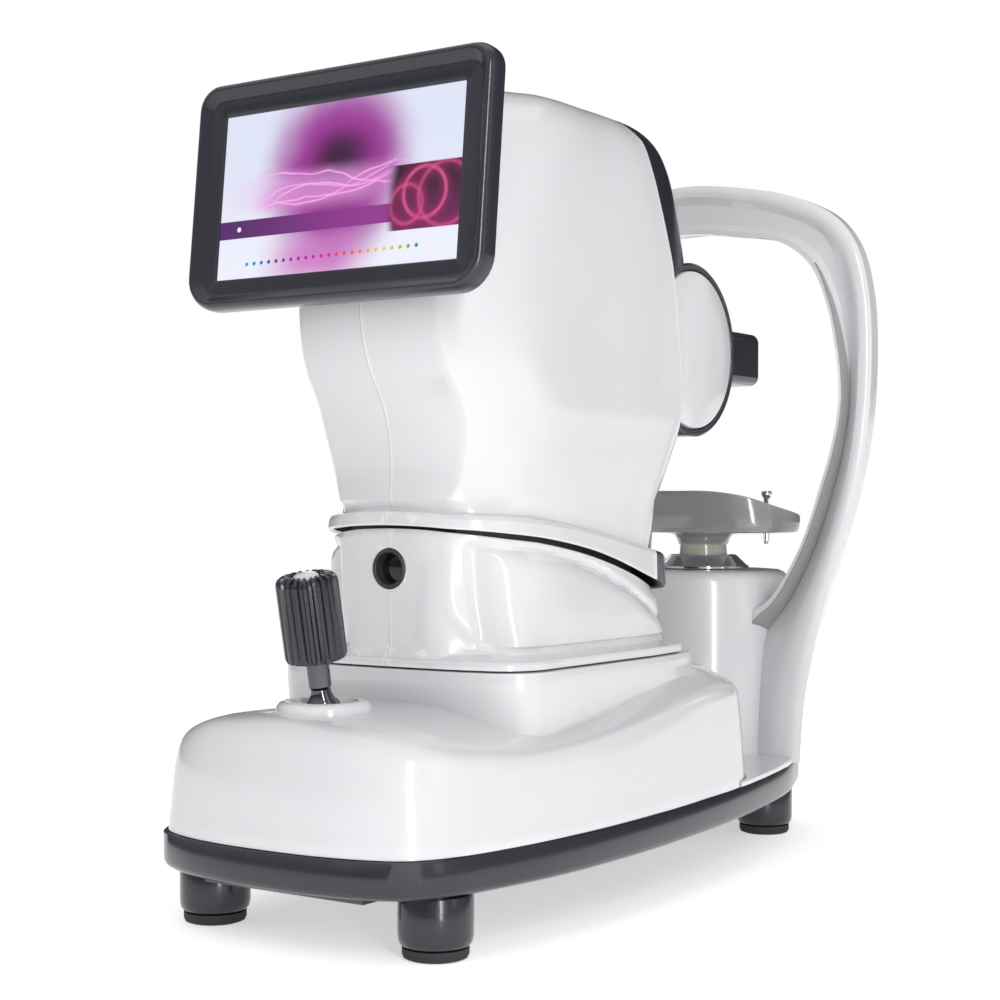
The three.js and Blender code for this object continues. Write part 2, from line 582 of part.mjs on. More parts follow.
// ---------------------------------------------------------------- chin rest, pillar and forehead arch
// Half of the arch's outer and inner outlines and of its recess, front view, as [x, z] from the top
// centre down.
const archOuter = [
  [0, 425.5], [40, 421], [80, 411], [108, 396], [122, 377], [129.5, 348], [131.5, 310], [129, 266], [121,
    222],
  [108, 178], [95, 135], [86, 92], [82.5, 50.3],
]
const archInner = [
  [0, 393.5], [42, 389], [70, 383], [90, 368], [101, 345], [108, 312], [110, 280], [106, 255], [98, 228],
  [83, 187], [63, 155], [44, 141],
]
const recessOuter = [
  [0, 417], [38, 412], [72, 403], [98, 390], [112, 372], [119, 347], [122, 310], [120, 268], [112, 226],
  [99, 181], [84, 140], [73, 104], [68, 70],
]
const recessInner = [
  [0, 397], [43, 392.5], [72, 386.5], [93, 371], [104, 346], [111.5, 312], [113.5, 280], [109, 254], [101,
    226.5],
  [86, 186], [66, 153], [52, 143], [40, 120],
]

function smooth2D(points, count) {
  const curve = new THREE.CatmullRomCurve3(points.map(([x, z]) => new THREE.Vector3(x, 0, z)), false,
    "centripetal")
  return curve.getPoints(count).map((point) => [point.x, point.z])
}

const mirrorX = (points) => points.map(([x, z]) => [-x, z])
const bothSides = (half) => [...mirrorX(half.slice(1)).reverse(), ...half]

// Pushes an XZ outline back from the arch's front plane to a rear face that leans forward towards the
// top. The rear
// face can be gathered in towards the middle at the foot.
function leaningSlab(outline, front, rearLow, rearHigh, gather = 0) {
  const geometry = profileXZ(outline, 0, 1)
  const position = geometry.attributes.position
  for (let index = 0; index < position.count; index += 1) {
    const share = (position.getZ(index) - ARCH.low) / (ARCH.high - ARCH.low)
    const rear = rearLow + (rearHigh - rearLow) * share
    const depth = position.getY(index)
    const x = position.getX(index)
    position.setX(index, x - Math.sign(x) * gather * (1 - share) ** 2 * depth)
    position.setY(index, front + depth * (rear - front))
  }
  return solid(geometry)
}

function makeArch() {
  const outer = bothSides(smooth2D(archOuter, 26))
  const inner = bothSides(smooth2D(archInner, 24))
  const hoop = cut(
    leaningSlab([...outer].reverse(), ARCH.front, ARCH.rearLow, ARCH.rearHigh, 12),
    leaningSlab([...inner].reverse(), ARCH.front - 20, ARCH.rearLow + 20, ARCH.rearHigh + 20))
  const recessEdge = [...bothSides(smooth2D(recessOuter, 20)),
    ...bothSides(smooth2D(recessInner, 18)).reverse()]
  const recess = leaningSlab([...recessEdge].reverse(), ARCH.front - 2, ARCH.floorLow, ARCH.floorHigh)
  const pillarSpace = bar("z", PILLAR.radius + GAP, 40, 185, 0, PILLAR.y, 32)
  const footSpace = turned([[0, 40], [PILLAR.foot + GAP, 40], [PILLAR.foot + GAP, 60],
    [PILLAR.radius + GAP, 90],
    [PILLAR.radius + GAP, 100], [0, 100]], 0, PILLAR.y, 32)
  const padSlots = [-1, 1].map((side) => box(side * 20 - 4, side * 20 + 4, 160, 200, 404, 412))
  addSolid("arch_frame", cut(hoop, recess, pillarSpace, footSpace, ...padSlots), WHITE)
  const curve = smooth2D([[0, 180], [24, 181], [44, 186], [52, 192]], 12)
  const face = smooth2D([[0, 189], [22, 190], [40, 194.5], [52, 200]], 12)
  const pad = [...bothSides(curve), ...bothSides(face).reverse()]
  const band = new THREE.Shape(pad.map(([x, y]) => new THREE.Vector2(x, y)))
  const geometry = new THREE.ExtrudeGeometry(band, { depth: 26, bevelEnabled: false })
  geometry.translate(0, 0, 395)
  const pegs = [-1, 1].map((side) => box(side * 20 - 3.6, side * 20 + 3.6, 170, 184, 404.4, 411.6))
  addSolid("forehead_pad", join(solid(geometry), ...pegs), SILICONE)
}

function makePillar() {
  const { y, radius, foot, top, bore } = PILLAR
  const bottom = PAN.top + GAP
  const column = turned([[0, bottom], [foot, bottom], [foot, 60], [radius, 90], [radius, top - 12],
    [radius - 3.5, top - 3.5], [radius - 12, top], [0, top]], 0, y, 32)
  const flange = skin([ringThrough(level(panOutline, bottom)), ringThrough(level(panOutline, bottom + 3))])
  const rear = box(-120, 120, 55, 300, 40, 60)
  const hollow = turned([[0, 40], [foot - WALL, 40], [foot - WALL, 60], [radius - WALL, 90],
    [radius - WALL, top - 12], [radius - 12, top - 3], [0, top - 3]], 0, y, 32)
  const hole = bar("z", bore, 40, 200, 0, y, 24)
  const coverSpace = skin([
    ringThrough(inset(level(coverBottom, PAN.top - 5), -0.5)),
    ringThrough(inset(level(coverBottom, PAN.top + 5), -0.5)),
  ])
  const archSpace = [-1, 1].map((side) => box(side > 0 ? 48 : -92, side > 0 ? 92 : -48, 160, 192, 50, 54))
  addSolid("chin_pillar", cut(join(column, flange.intersect(rear)), hollow, hole, coverSpace,
    ...archSpace), WHITE)
  const collar = turned([[0, top + GAP], [31, top + GAP], [31, top + 2.5], [22, top + 9.5],
    [0, top + 9.5]], 0, y, 24)
  addSolid("chin_collar", cut(collar, hole), CHROME)
  addSolid("chin_motor", join(box(-20, 20, y - 45, y - 19, 54, 96), bar("z", 8, 95, 104, 0, y - 30)), BLACK)
  addSolid("chin_shaft", bar("z", bore - GAP - 0.2, 62, CHIN.bottom - GAP, 0, y, 24), SILICONE)
}

function makeChinCup() {
  const { halfWidth, bottom, pinX, pinY } = CHIN
  const outline = [
    [0, 154], [26, 155], [48, 161], [63, 174], [halfWidth, 190], [64, 206], [48, 216], [24, 214], [0, 211],
  ]
  const rim = [224, 223.5, 220, 214, 210, 208, 208, 208, 208]
  const under = skin([
    ringThrough(inset(level(outline, bottom), 24)),
    ringThrough(inset(level(outline, bottom + 1.5), 3)),
    ringThrough(inset(level(outline, bottom + 5), 0)),
    ringThrough(outline.map(([x, y], index) => [x, y, rim[index]])),
  ])
  const bowl = solid(new THREE.SphereGeometry(1, 18, 8).rotateX(Math.PI / 2).scale(46, 46,
    20).translate(0, 208, 222))
  const holes = [-1, 1].map((side) => bar("z", 2.4, 180, 240, side * pinX, pinY, 8))
  addSolid("chin_cup", cut(under, bowl, ...holes), GREY)
  for (const [name, side] of [["left", -1], ["right", 1]]) {
    const pin = turned([[0, 189], [1.5, 190], [2, 191.5], [2, 222.6], [3.4, 224.4], [3.4, 226], [0, 227]],
      side * pinX, pinY, 8)
    addSolid(`chin_pin_${name}`, pin, CHROME)
  }
}

// ---------------------------------------------------------------- joystick
function makeJoystick() {
  const { y, z, lean, radius, knob, knobLow, knobHigh } = STICK
  const boss = cut(
    turned([[0, 103], [24, 103], [24, 113], [22.5, 116], [19, 117.2], [0, 117.2]], 0, y - 1, 24),
    turned([[0, 100], [18, 100], [18, 113], [13, 114.5], [13.5, 118], [0, 118]], 0, y - 1, 24))
  addSolid("joystick_boss", boss, WHITE)
  const tilt = (body) => solid(geometryOf(body).rotateX(radians(lean)).translate(0, y, z))
  const ring = cut(bar("z", 12.5, -2.5, 2.5, 0, 0, 16), bar("z", 9.3, -5, 5, 0, 0, 16))
  addSolid("joystick_gimbal", tilt(ring), STEEL)
  const ball = solid(new THREE.SphereGeometry(8.7, 14, 8).rotateX(Math.PI / 2))
  const shaft = turned([[0, 0], [radius, 0], [radius, 17], [9.5, 18], [9.5, 19], [radius, 23],
    [radius, 33.5],
    [4, 33.5], [4, 68], [0, 68]], 0, 0, 14)
  addSolid("joystick_stick", tilt(join(ball, shaft)), CHROME)
  const grip = turned([[0, knobLow + 1], [knob - 2, knobLow + 1], [knob, knobLow + 3], [knob, knobHigh - 3],
    [knob - 2, knobHigh], [0, knobHigh]], 0, 0, 24)
  const stem = bar("z", 4 + GAP, 20, 68.5, 0, 0, 14)
  const well = bar("z", 8.4, 70, 90, 0, 0)
  addSolid("joystick_knob", tilt(cut(grip, stem, well)), SLATE)
  const cap = turned([[0, 73.5], [8, 73.5], [8, 78], [6.5, 80], [0, 80.8]], 0, 0, 16)
  addSolid("measure_button", tilt(cap), WHITE)
}

// ---------------------------------------------------------------- the whole instrument
makeChassis()
for (const [end, x, y] of [["front", FOOT.frontX, FOOT.frontY], ["rear", FOOT.rearX, FOOT.rearY]]) {
  makeFoot(`${end}_left`, -x, y)
  makeFoot(`${end}_right`, x, y)
}
makeBaseCover()
makePowerEntry()
makeBed()
makeCarriage()
makeStage()
makeNeck()
makeHead()
makeWindow()
makeHeadFrame()
makeMonitor()
makeArch()
makePillar()
makeChinCup()
makeJoystick()

export default part
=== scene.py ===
# The looks of a table-top autorefractor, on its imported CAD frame. Lengths are written in millimetres, and
# become metres when a mesh becomes an object.
import math

import bmesh
import bpy
from mathutils import Matrix, Vector


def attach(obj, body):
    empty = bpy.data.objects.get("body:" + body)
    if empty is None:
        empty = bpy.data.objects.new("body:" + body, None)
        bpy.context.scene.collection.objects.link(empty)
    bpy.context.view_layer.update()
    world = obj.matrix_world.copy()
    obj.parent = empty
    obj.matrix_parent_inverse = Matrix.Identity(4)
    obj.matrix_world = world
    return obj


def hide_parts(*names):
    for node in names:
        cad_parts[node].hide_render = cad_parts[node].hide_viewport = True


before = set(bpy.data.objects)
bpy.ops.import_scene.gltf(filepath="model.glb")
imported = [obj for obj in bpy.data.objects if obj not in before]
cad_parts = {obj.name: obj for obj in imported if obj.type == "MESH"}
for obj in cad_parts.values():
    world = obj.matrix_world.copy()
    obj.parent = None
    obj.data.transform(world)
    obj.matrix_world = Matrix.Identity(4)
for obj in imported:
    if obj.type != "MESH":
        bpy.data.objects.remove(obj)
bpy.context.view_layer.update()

MM = 0.001
WALL = 2.5


# ------------------------------------------------------------------ shader maths
class Field:
    """A value or colour that varies over a surface, with arithmetic."""

    def __init__(self, finish, socket):
        self.finish = finish
        self.socket = socket

    def maths(self, operation, *values):
        return self.finish.node("ShaderNodeMath", {"operation": operation}, dict(enumerate(values)))

    def __add__(self, other):
        return self.maths("ADD", self, other)

    def __sub__(self, other):
        return self.maths("SUBTRACT", self, other)

    def __mul__(self, other):
        return self.maths("MULTIPLY", self, other)

    def __truediv__(self, other):
        return self.maths("DIVIDE", self, other)

    def __rsub__(self, other):
        return self.maths("SUBTRACT", other, self)

    __radd__ = __add__
    __rmul__ = __mul__

    def power(self, other):
        return self.maths("POWER", self, other)

    def sine(self):
        return self.maths("SINE", self)

    def size(self):
        return self.maths("ABSOLUTE", self)

    def fraction(self):
        return self.maths("FRACT", self)

    def between(self, low, high):
        """0 below low, 1 above high and smooth from one to the other."""
        settings = {"interpolation_type": "SMOOTHSTEP"}
        return self.finish.node(
            "ShaderNodeMapRange", settings, {"Value": self, "From Min": low, "From Max": high},
        )

    def band(self, middle, half, soft):
        return 1 - (self - middle).size().between(half, half + soft)


class Finish:
    """One procedural material."""

    def __init__(self, name):
        self.material = bpy.data.materials.new(name)
        self.material.use_nodes = True
        self.tree = self.material.node_tree
        self.shader = self.tree.nodes["Principled BSDF"]

    def node(self, kind, settings, values, output=0):
        made = self.tree.nodes.new(kind)
        for key, value in settings.items():
            if key == "stops":
                ramp = made.color_ramp.elements
                while len(ramp) < len(value):
                    ramp.new(0.5)
                for stop, (place, colour) in zip(ramp, value):
                    stop.position = place
                    stop.color = (*colour, 1)
            else:
                setattr(made, key, value)
        for key, value in values.items():
            self.put(made.inputs[key], value)
        return Field(self, made.outputs[output])

    def put(self, socket, value):
        if isinstance(value, Field):
            self.tree.links.new(value.socket, socket)
        elif socket.type == "RGBA":
            socket.default_value = (*value, 1)
        else:
            socket.default_value = value

    def place(self, scale=(1, 1, 1)):
        coordinates = self.node("ShaderNodeTexCoord", {}, {}, "Object")
        return self.node("ShaderNodeMapping", {}, {"Vector": coordinates, "Scale": scale})

    def noise(self, scale, detail=3, stretch=(1, 1, 1), rough=0.5):
        values = {"Vector": self.place(stretch), "Scale": scale, "Detail": detail, "Roughness": rough}
        return self.node("ShaderNodeTexNoise", {}, values)

    def mix(self, share, low, high, blend="MIX"):
        settings = {"data_type": "RGBA", "blend_type": blend}
        return self.node("ShaderNodeMix", settings, {0: share, 6: low, 7: high}, 2)

    def edges(self, low=0.52, high=0.6):
        """1 on sharp outer edges, where handling polishes and pales a moulding."""
        return self.node("ShaderNodeNewGeometry", {}, {}, "Pointiness").between(low, high)

    def bump(self, height, strength, distance):
        return self.node("ShaderNodeBump", {}, {"Height": height, "Strength": strength, "Distance": distance})

    def set(self, **values):
        for key, value in values.items():
            self.put(self.shader.inputs[key.replace("_", " ")], value)
        return self.material


def moulded(name, colour, shade, roughness, grain, grain_depth, coat=0.0, edge=None, patches=14):
    """A moulded or painted surface: slow colour variation, paler edges, grain and uneven gloss."""
    finish = Finish(name)
    slow = finish.noise(patches, 4)
    fine = finish.noise(grain, 2)
    tone = finish.mix(slow.between(0.25, 0.8), colour, shade)
    worn = finish.mix(finish.edges() * 0.55, tone, edge or colour)
    smudge = finish.noise(9, 3).between(0.4, 0.7)
    height = fine + finish.noise(grain * 0.22, 2) * 0.6
    return finish.set(
        Base_Color=worn,
        Roughness=roughness + (fine - 0.5) * 0.05 + smudge * 0.03 - finish.edges() * 0.04,
        Coat_Weight=coat,
        Coat_Roughness=0.06,
        Normal=finish.bump(height, 0.35, grain_depth),
    )


def metal(name, colour, shade, roughness, stretch, scratch=0.15, scale=220):
    """A bare metal with marks along its working direction."""
    finish = Finish(name)
    lines = finish.noise(scale, 4, stretch, 0.6)
    cloud = finish.noise(30, 3)
    return finish.set(
        Base_Color=finish.mix(cloud.between(0.3, 0.7), colour, shade),
        Metallic=1.0,
        Roughness=roughness + (lines - 0.5) * scratch + cloud * 0.04,
        Normal=finish.bump(lines, 0.25, 0.00003),
    )


def screen_picture():
    """A lit display: a violet bloom, drifting strands, a dark caption band and a row of coloured dots."""
    finish = Finish("lit_screen")
    where = finish.node("ShaderNodeTexCoord", {}, {}, "Object")
    split = finish.tree.nodes.new("ShaderNodeSeparateXYZ")
    finish.tree.links.new(where.socket, split.inputs[0])
    x, y, z = (Field(finish, output) for output in split.outputs)
    aspect = 1.77
    lean = math.radians(SCREEN["lean"])
    u = x / (SCREEN["width"] * MM) + 0.5
    rise = (z - SCREEN["z"] * MM) * math.cos(lean) + (y - SCREEN["y"] * MM) * math.sin(lean)
    v = 0.5 - rise / (SCREEN["height"] * MM)

    drift = finish.noise(22, 2) - 0.5
    du = (u - 0.49) / 0.35
    dv = (v - 0.4) / 0.6
    away = (du * du + dv * dv).power(0.5) + drift * 0.35
    bloom = 1 - away.between(0.45, 1.08)
    core_u = (u - 0.5) / 0.17
    core_v = (v - 0.33) / 0.2
    core = 1 - ((core_u * core_u + core_v * core_v).power(0.5) + drift * 0.5).between(0.05, 1.1)
    colour = finish.mix(v.between(0.2, 1.0), (0.70, 0.74, 0.88), (0.82, 0.83, 0.93))
    colour = finish.mix(bloom * 0.96, colour, (0.40, 0.05, 0.38))
    colour = finish.mix((1 - away.between(0.2, 0.95)) * 0.9, colour, (0.24, 0.007, 0.21))
    colour = finish.mix(core * 0.95, colour, (0.03, 0.001, 0.026))
    haze = v.band(0.5, 0.03, 0.13) * u.band(0.4, 0.14, 0.3)
    colour = finish.mix(haze * 0.5, colour, (0.80, 0.42, 0.78))
    low_glow = v.band(0.92, 0.02, 0.2) * u.band(0.43, 0.05, 0.24)
    colour = finish.mix(low_glow * 0.85, colour, (0.58, 0.16, 0.52))

    for pace, turn, height, sway, slope, half in (
        (9.6, 4.2, 0.5, 0.06, -0.18, 0.002),
        (11.5, 1.4, 0.47, 0.06, -0.3, 0.0015),
        (7.1, 2.6, 0.45, 0.08, -0.06, 0.002),
        (13.0, 0.1, 0.49, 0.045, -0.22, 0.001),
        (8.3, 3.1, 0.52, 0.05, -0.36, 0.001),
    ):
        strand = (u * pace + turn + drift * 5).sine() * sway + (u - 0.5) * slope + height
        near = (v - strand).size()
        along = u.band(0.47, 0.18, 0.18)
        line = 1 - near.between(half, half + 0.008)
        veil = 1 - near.between(0.0, 0.05)
        colour = finish.mix(veil * along * 0.28, colour, (0.72, 0.16, 0.62))
        colour = finish.mix(line * along * 0.6, colour, (0.95, 0.55, 0.9))

    band = v.band(0.70, 0.052, 0.004)
    colour = finish.mix(
        band, colour, finish.mix(u.between(0.0, 0.75), (0.085, 0.015, 0.13), (0.28, 0.03, 0.27)),
    )
    edge = 0.70 - drift * 0.12
    panel = u.between(edge, edge + 0.05) * v.band(0.62, 0.185, 0.006)
    colour = finish.mix(
        panel, colour, finish.mix(v.between(0.45, 0.8), (0.035, 0.004, 0.02), (0.13, 0.012, 0.085)),
    )
    for ring_u, ring_v, radius, glow in (
        (0.86, 0.6, 0.105, 0.6), (0.79, 0.66, 0.08, 0.4), (0.94, 0.62, 0.13, 0.35),
    ):
        off = (((u - ring_u) * aspect).power(2) + (v - ring_v).power(2)).power(0.5)
        ring = (off - radius * 1.4).size()
        lit = (1 - ring.between(0.002, 0.02)) * u.between(0.69, 0.76) * v.band(0.62, 0.18, 0.02)
        glowing = (1 - ring.between(0.0, 0.07)) * u.between(0.69, 0.76) * v.band(0.62, 0.18, 0.02)
        colour = finish.mix(glowing * 0.35, colour, (0.4, 0.01, 0.12))
        colour = finish.mix(lit * glow, colour, (0.8, 0.12, 0.34))

    step = (u - 0.13) * (22 / 0.71)
    dot_u = (step + 0.5).fraction() - 0.5
    dot_v = (v - (0.915 - (u - 0.13) * 0.02)) / 0.0555
    dot = 1 - ((dot_u.power(2) + dot_v.power(2)).power(0.5)).between(0.17, 0.25)
    row = u.band(0.485, 0.366, 0.002)
    hues = (
        (0.0, (0.0, 0.35, 0.6)), (0.16, (0.02, 0.04, 0.3)), (0.34, (0.45, 0.0, 0.35)),
        (0.5, (0.75, 0.01, 0.12)), (0.66, (0.85, 0.12, 0.01)), (0.8, (0.85, 0.6, 0.02)),
        (0.9, (0.3, 0.6, 0.05)), (1.0, (0.01, 0.3, 0.1)),
    )
    hue = finish.node("ShaderNodeValToRGB", {"stops": hues}, {"Fac": (u - 0.13) / 0.71})
    colour = finish.mix(dot * row, colour, hue)
    lamp_off = (((u - 0.085) * aspect).power(2) + (v - 0.70).power(2)).power(0.5)
    lamp = 1 - lamp_off.between(0.012, 0.018)
    colour = finish.mix(lamp, colour, (0.75, 0.9, 0.95))

    normal = finish.node("ShaderNodeTexCoord", {}, {}, "Normal")
    faces_out = (-1 * finish.node("ShaderNodeSeparateXYZ", {}, {"Vector": normal}, "Y")).between(0.7, 0.9)
    dust = finish.noise(160, 4, rough=0.7).between(0.55, 0.8)
    return finish.set(
        Base_Color=finish.mix(0.9, colour, (0.01, 0.01, 0.012)),
        Emission_Color=finish.mix(faces_out, (0, 0, 0), colour),
        Emission_Strength=0.92,
        Specular_IOR_Level=0.25,
        Roughness=0.16 + dust * 0.12,
    )


# ------------------------------------------------------------------ driving dimensions
SCREEN = {"y": -196.1, "z": 374.3, "lean": 5.66, "width": 154, "height": 87}
MONITOR = {"width": 190, "height": 120.6, "rise": 1, "corner": 13, "low_corner": 18}
DRUM = {"y": 68, "z": 307.5, "radius": 52}
PORT = {"y": -152.5, "z": 181, "radius": 10.5}
PILLAR = {"y": 192, "radius": 57, "top": 172}
STICK = {"y": -204.5, "z": 104, "lean": 11.26}

WHITE = moulded(
    "white_paint", colour=(0.655, 0.66, 0.67), shade=(0.635, 0.64, 0.655), roughness=0.2, grain=900,
    grain_depth=0.04 * MM, coat=0.4, edge=(0.8, 0.81, 0.82),
)
SLATE = moulded(
    "slate_plastic", colour=(0.013, 0.013, 0.022), shade=(0.010, 0.010, 0.018), roughness=0.25, grain=1500,
    grain_depth=0.06 * MM, coat=0.25, edge=(0.04, 0.04, 0.055),
)
DEEP = moulded(
    "black_plastic", colour=(0.012, 0.012, 0.014), shade=(0.018, 0.018, 0.02), roughness=0.42, grain=2200,
    grain_depth=0.1 * MM, coat=0.0, edge=(0.05, 0.05, 0.055),
)
RUBBER = moulded(
    "tread_rubber", colour=(0.012, 0.012, 0.013), shade=(0.02, 0.02, 0.021), roughness=0.8, grain=1500,
    grain_depth=0.2 * MM, coat=0.0, edge=(0.04, 0.04, 0.04),
)
PLATE = moulded(
    "painted_plate", colour=(0.03, 0.03, 0.036), shade=(0.045, 0.045, 0.05), roughness=0.5, grain=1300,
    grain_depth=0.15 * MM, coat=0.0, edge=(0.16, 0.16, 0.17),
)
SILICONE = moulded(
    "silicone_band", colour=(0.60, 0.61, 0.62), shade=(0.52, 0.53, 0.54), roughness=0.5, grain=700,
    grain_depth=0.1 * MM, coat=0.1, edge=(0.7, 0.71, 0.72),
)
SMOKE = moulded(
    "smoked_plastic", colour=(0.27, 0.275, 0.28), shade=(0.22, 0.225, 0.23), roughness=0.14, grain=500,
    grain_depth=0.04 * MM, coat=0.5, edge=(0.5, 0.51, 0.52),
)
# Grey sheet for the arch's groove: painted shade, standing for the shadow on the groove's inner wall.
GROOVE_SHADE_PAINT = moulded(
    "painted_groove_shade", colour=(0.23, 0.23, 0.235), shade=(0.2, 0.2, 0.205), roughness=0.34, grain=900,
    grain_depth=0.05 * MM, coat=0.1, edge=(0.4, 0.4, 0.41),
)
CREAM = moulded(
    "cream_plastic", colour=(0.52, 0.51, 0.43), shade=(0.42, 0.41, 0.35), roughness=0.18, grain=700,
    grain_depth=0.04 * MM, coat=0.4, edge=(0.7, 0.69, 0.62),
)
BOARD = moulded(
    "solder_mask", colour=(0.012, 0.11, 0.045), shade=(0.02, 0.16, 0.07), roughness=0.4, grain=1200,
    grain_depth=0.2 * MM, coat=0.2, edge=(0.3, 0.28, 0.1), patches=60,
)
GLASS = moulded(
    "dark_glass", colour=(0.002, 0.002, 0.004), shade=(0.004, 0.004, 0.007), roughness=0.08, grain=300,
    grain_depth=0.01 * MM, coat=0.0, edge=(0.01, 0.01, 0.014),
)
STEEL = metal(
    "ground_steel", colour=(0.46, 0.47, 0.49), shade=(0.38, 0.39, 0.41), roughness=0.3, stretch=(1, 12, 12),
)
ALUMINIUM = metal(
    "machined_aluminium", colour=(0.60, 0.61, 0.63), shade=(0.5, 0.51, 0.53), roughness=0.36,
    stretch=(1, 9, 1),
)
CHROME = metal(
    "chrome", colour=(0.78, 0.79, 0.81), shade=(0.72, 0.73, 0.75), roughness=0.07, stretch=(1, 1, 6),
    scratch=0.05, scale=90,
)
DARK_CHROME = metal(
    "dark_chrome", colour=(0.14, 0.14, 0.15), shade=(0.1, 0.1, 0.11), roughness=0.06, stretch=(1, 1, 6),
    scratch=0.04, scale=90,
)
PICTURE = screen_picture()


# ------------------------------------------------------------------ curves
def curve(points, steps, before=None, after=None):
    """A smooth open curve through the points, with spacing that follows their distances."""
    points = [Vector(point) for point in points]
    before = Vector(before) if before else 2 * points[0] - points[1]
    after = Vector(after) if after else 2 * points[-1] - points[-2]
    points = [before, *points, after]
    made = []
    for a, b, c, d in zip(points, points[1:], points[2:], points[3:]):
        for step in range(steps):
            made.append(between_points(a, b, c, d, step / steps))
    return [*made, points[-2]]


def between_points(a, b, c, d, share):
    """A point from b to c, on the centripetal curve through all four."""
    t0 = 0.0
    t1 = t0 + max((b - a).length, 1e-6) ** 0.5
    t2 = t1 + max((c - b).length, 1e-6) ** 0.5
    t3 = t2 + max((d - c).length, 1e-6) ** 0.5
    t = t1 + (t2 - t1) * share
    ab = a.lerp(b, (t - t0) / (t1 - t0))
    bc = b.lerp(c, (t - t1) / (t2 - t1))
    cd = c.lerp(d, (t - t2) / (t3 - t2))
    abc = ab.lerp(bc, (t - t0) / (t2 - t0))
    bcd = bc.lerp(cd, (t - t1) / (t3 - t1))
    return abc.lerp(bcd, (t - t1) / (t2 - t1))


def broken_curve(points, steps, corners, before=None, after=None):
    """A curve that keeps a corner at the given places."""
    stops = [0, *corners, len(points) - 1]
    made = []
    for low, high in zip(stops, stops[1:]):
        start = before if low == 0 else None
        end = after if high == len(points) - 1 else None
        made += curve(points[low : high + 1], steps, start, end)[:-1]
    return [*made, Vector(points[-1])]


def mirrored(point):
    return (-point[0], point[1], point[2])


def half_ring(half, steps=5, corners=()):
    """The right half of a symmetric outline, from its front centre to its rear centre."""
    return broken_curve(half, steps, corners, mirrored(half[1]), mirrored(half[-2]))


def whole_ring(right):
    return [*right, *(Vector(mirrored(point)) for point in reversed(right[1:-1]))]


def rise_through(levels, steps=4, sharp=()):
    """Further outlines between the given ones, upwards, each place on the outline following its own curve."""
    columns = [broken_curve(column, steps, sharp) for column in zip(*levels)]
    return [list(row) for row in zip(*columns)]


def level(half, z):
    return [(x, y, z) for x, y, *_ in half]


def at_heights(half, heights, rise=0):
    return [(x, y, z + rise) for (x, y, *_), z in zip(half, heights)]


def inset(half, thickness):
    width = max(x for x, *_ in half)
    front, rear = half[0][1], half[-1][1]
    middle, depth = (front + rear) / 2, (rear - front) / 2
    return [
        (x * (1 - thickness / width), middle + (y - middle) * (1 - thickness / depth), z) for x, y, z in half
    ]


# ------------------------------------------------------------------ making meshes
def loft(rings, closed=True, low_cap=False, high_cap=False):
    """A surface drawn up from the first ring through all the others."""
    bm = bmesh.new()
    verts = [bm.verts.new(point) for point in rings[0]]
    ends = zip(verts, verts[1:] + verts[:1] if closed else verts[1:])
    edges = [bm.edges.new(pair) for pair in ends]
    if low_cap:
        bmesh.ops.contextual_create(bm, geom=edges)
    for ring in rings[1:]:
        made = bmesh.ops.extrude_edge_only(bm, edges=edges)["geom"]
        fresh = {item for item in made if isinstance(item, bmesh.types.BMVert)}
        verts = [next(e.other_vert(v) for e in v.link_edges if e.other_vert(v) in fresh) for v in verts]
        for vert, point in zip(verts, ring):
            vert.co = point
        edges = [bm.edges.get(pair) for pair in zip(verts, verts[1:] + verts[:1] if closed else verts[1:])]
    if high_cap:
        bmesh.ops.contextual_create(bm, geom=edges)
    return bm


def turned(profile, x=0, y=0, steps=64):
    """A turned piece about a vertical line, from (radius, z) pairs."""
    bm = bmesh.new()
    verts = [bm.verts.new((x + radius, y, z)) for radius, z in profile]
    edges = [bm.edges.new(pair) for pair in zip(verts, verts[1:])]
    bmesh.ops.spin(
        bm, geom=verts + edges, cent=(x, y, 0), axis=(0, 0, 1), angle=math.tau, steps=steps, use_merge=True
    )
    return bm


def turn_to(bm, axis, x=0.0, y=0.0, z=0.0):
    """Lays a piece that was turned about the Z axis along another axis, and moves it into place."""
    turns = {
        "x": Matrix.Rotation(math.pi / 2, 4, "Y"),
        "y": Matrix.Rotation(-math.pi / 2, 4, "X"),
        "-y": Matrix.Rotation(math.pi / 2, 4, "X"),
    }
    bmesh.ops.transform(bm, matrix=Matrix.Translation((x, y, z)) @ turns[axis], verts=bm.verts)
    return bm


def block(x0, x1, y0, y1, z0, z1):
    bm = bmesh.new()
    middle = Vector((x0 + x1, y0 + y1, z0 + z1)) / 2
    scale = Matrix.Diagonal((x1 - x0, y1 - y0, z1 - z0, 1))
    bmesh.ops.create_cube(bm, size=1, matrix=Matrix.Translation(middle) @ scale)
    return bm


def mesh_object(name, bm):
    bmesh.ops.remove_doubles(bm, verts=bm.verts, dist=0.002)
    bmesh.ops.recalc_face_normals(bm, faces=bm.faces)
    bmesh.ops.scale(bm, vec=(MM, MM, MM), verts=bm.verts)
    mesh = bpy.data.meshes.new(name)
    bm.to_mesh(mesh)
    bm.free()
    made = bpy.data.objects.new(name, mesh)
    bpy.context.scene.collection.objects.link(made)
    return made


def modifier(piece, kind, **settings):
    made = piece.modifiers.new(kind.title(), kind)
    for key, value in settings.items():
        setattr(made, key, value)
    return made


def apply_modifiers(piece):
    mesh = bpy.data.meshes.new_from_object(piece.evaluated_get(bpy.context.evaluated_depsgraph_get()))
    piece.modifiers.clear()
    piece.data = mesh


def carve(piece, *cutters):
    """Cuts holes and pockets with closed meshes."""
    for bm in cutters:
        cutter = mesh_object("cutter", bm)
        modifier(piece, "BOOLEAN", operation="DIFFERENCE", solver="EXACT", object=cutter)
        bpy.context.view_layer.update()
        apply_modifiers(piece)
        bpy.data.objects.remove(cutter)


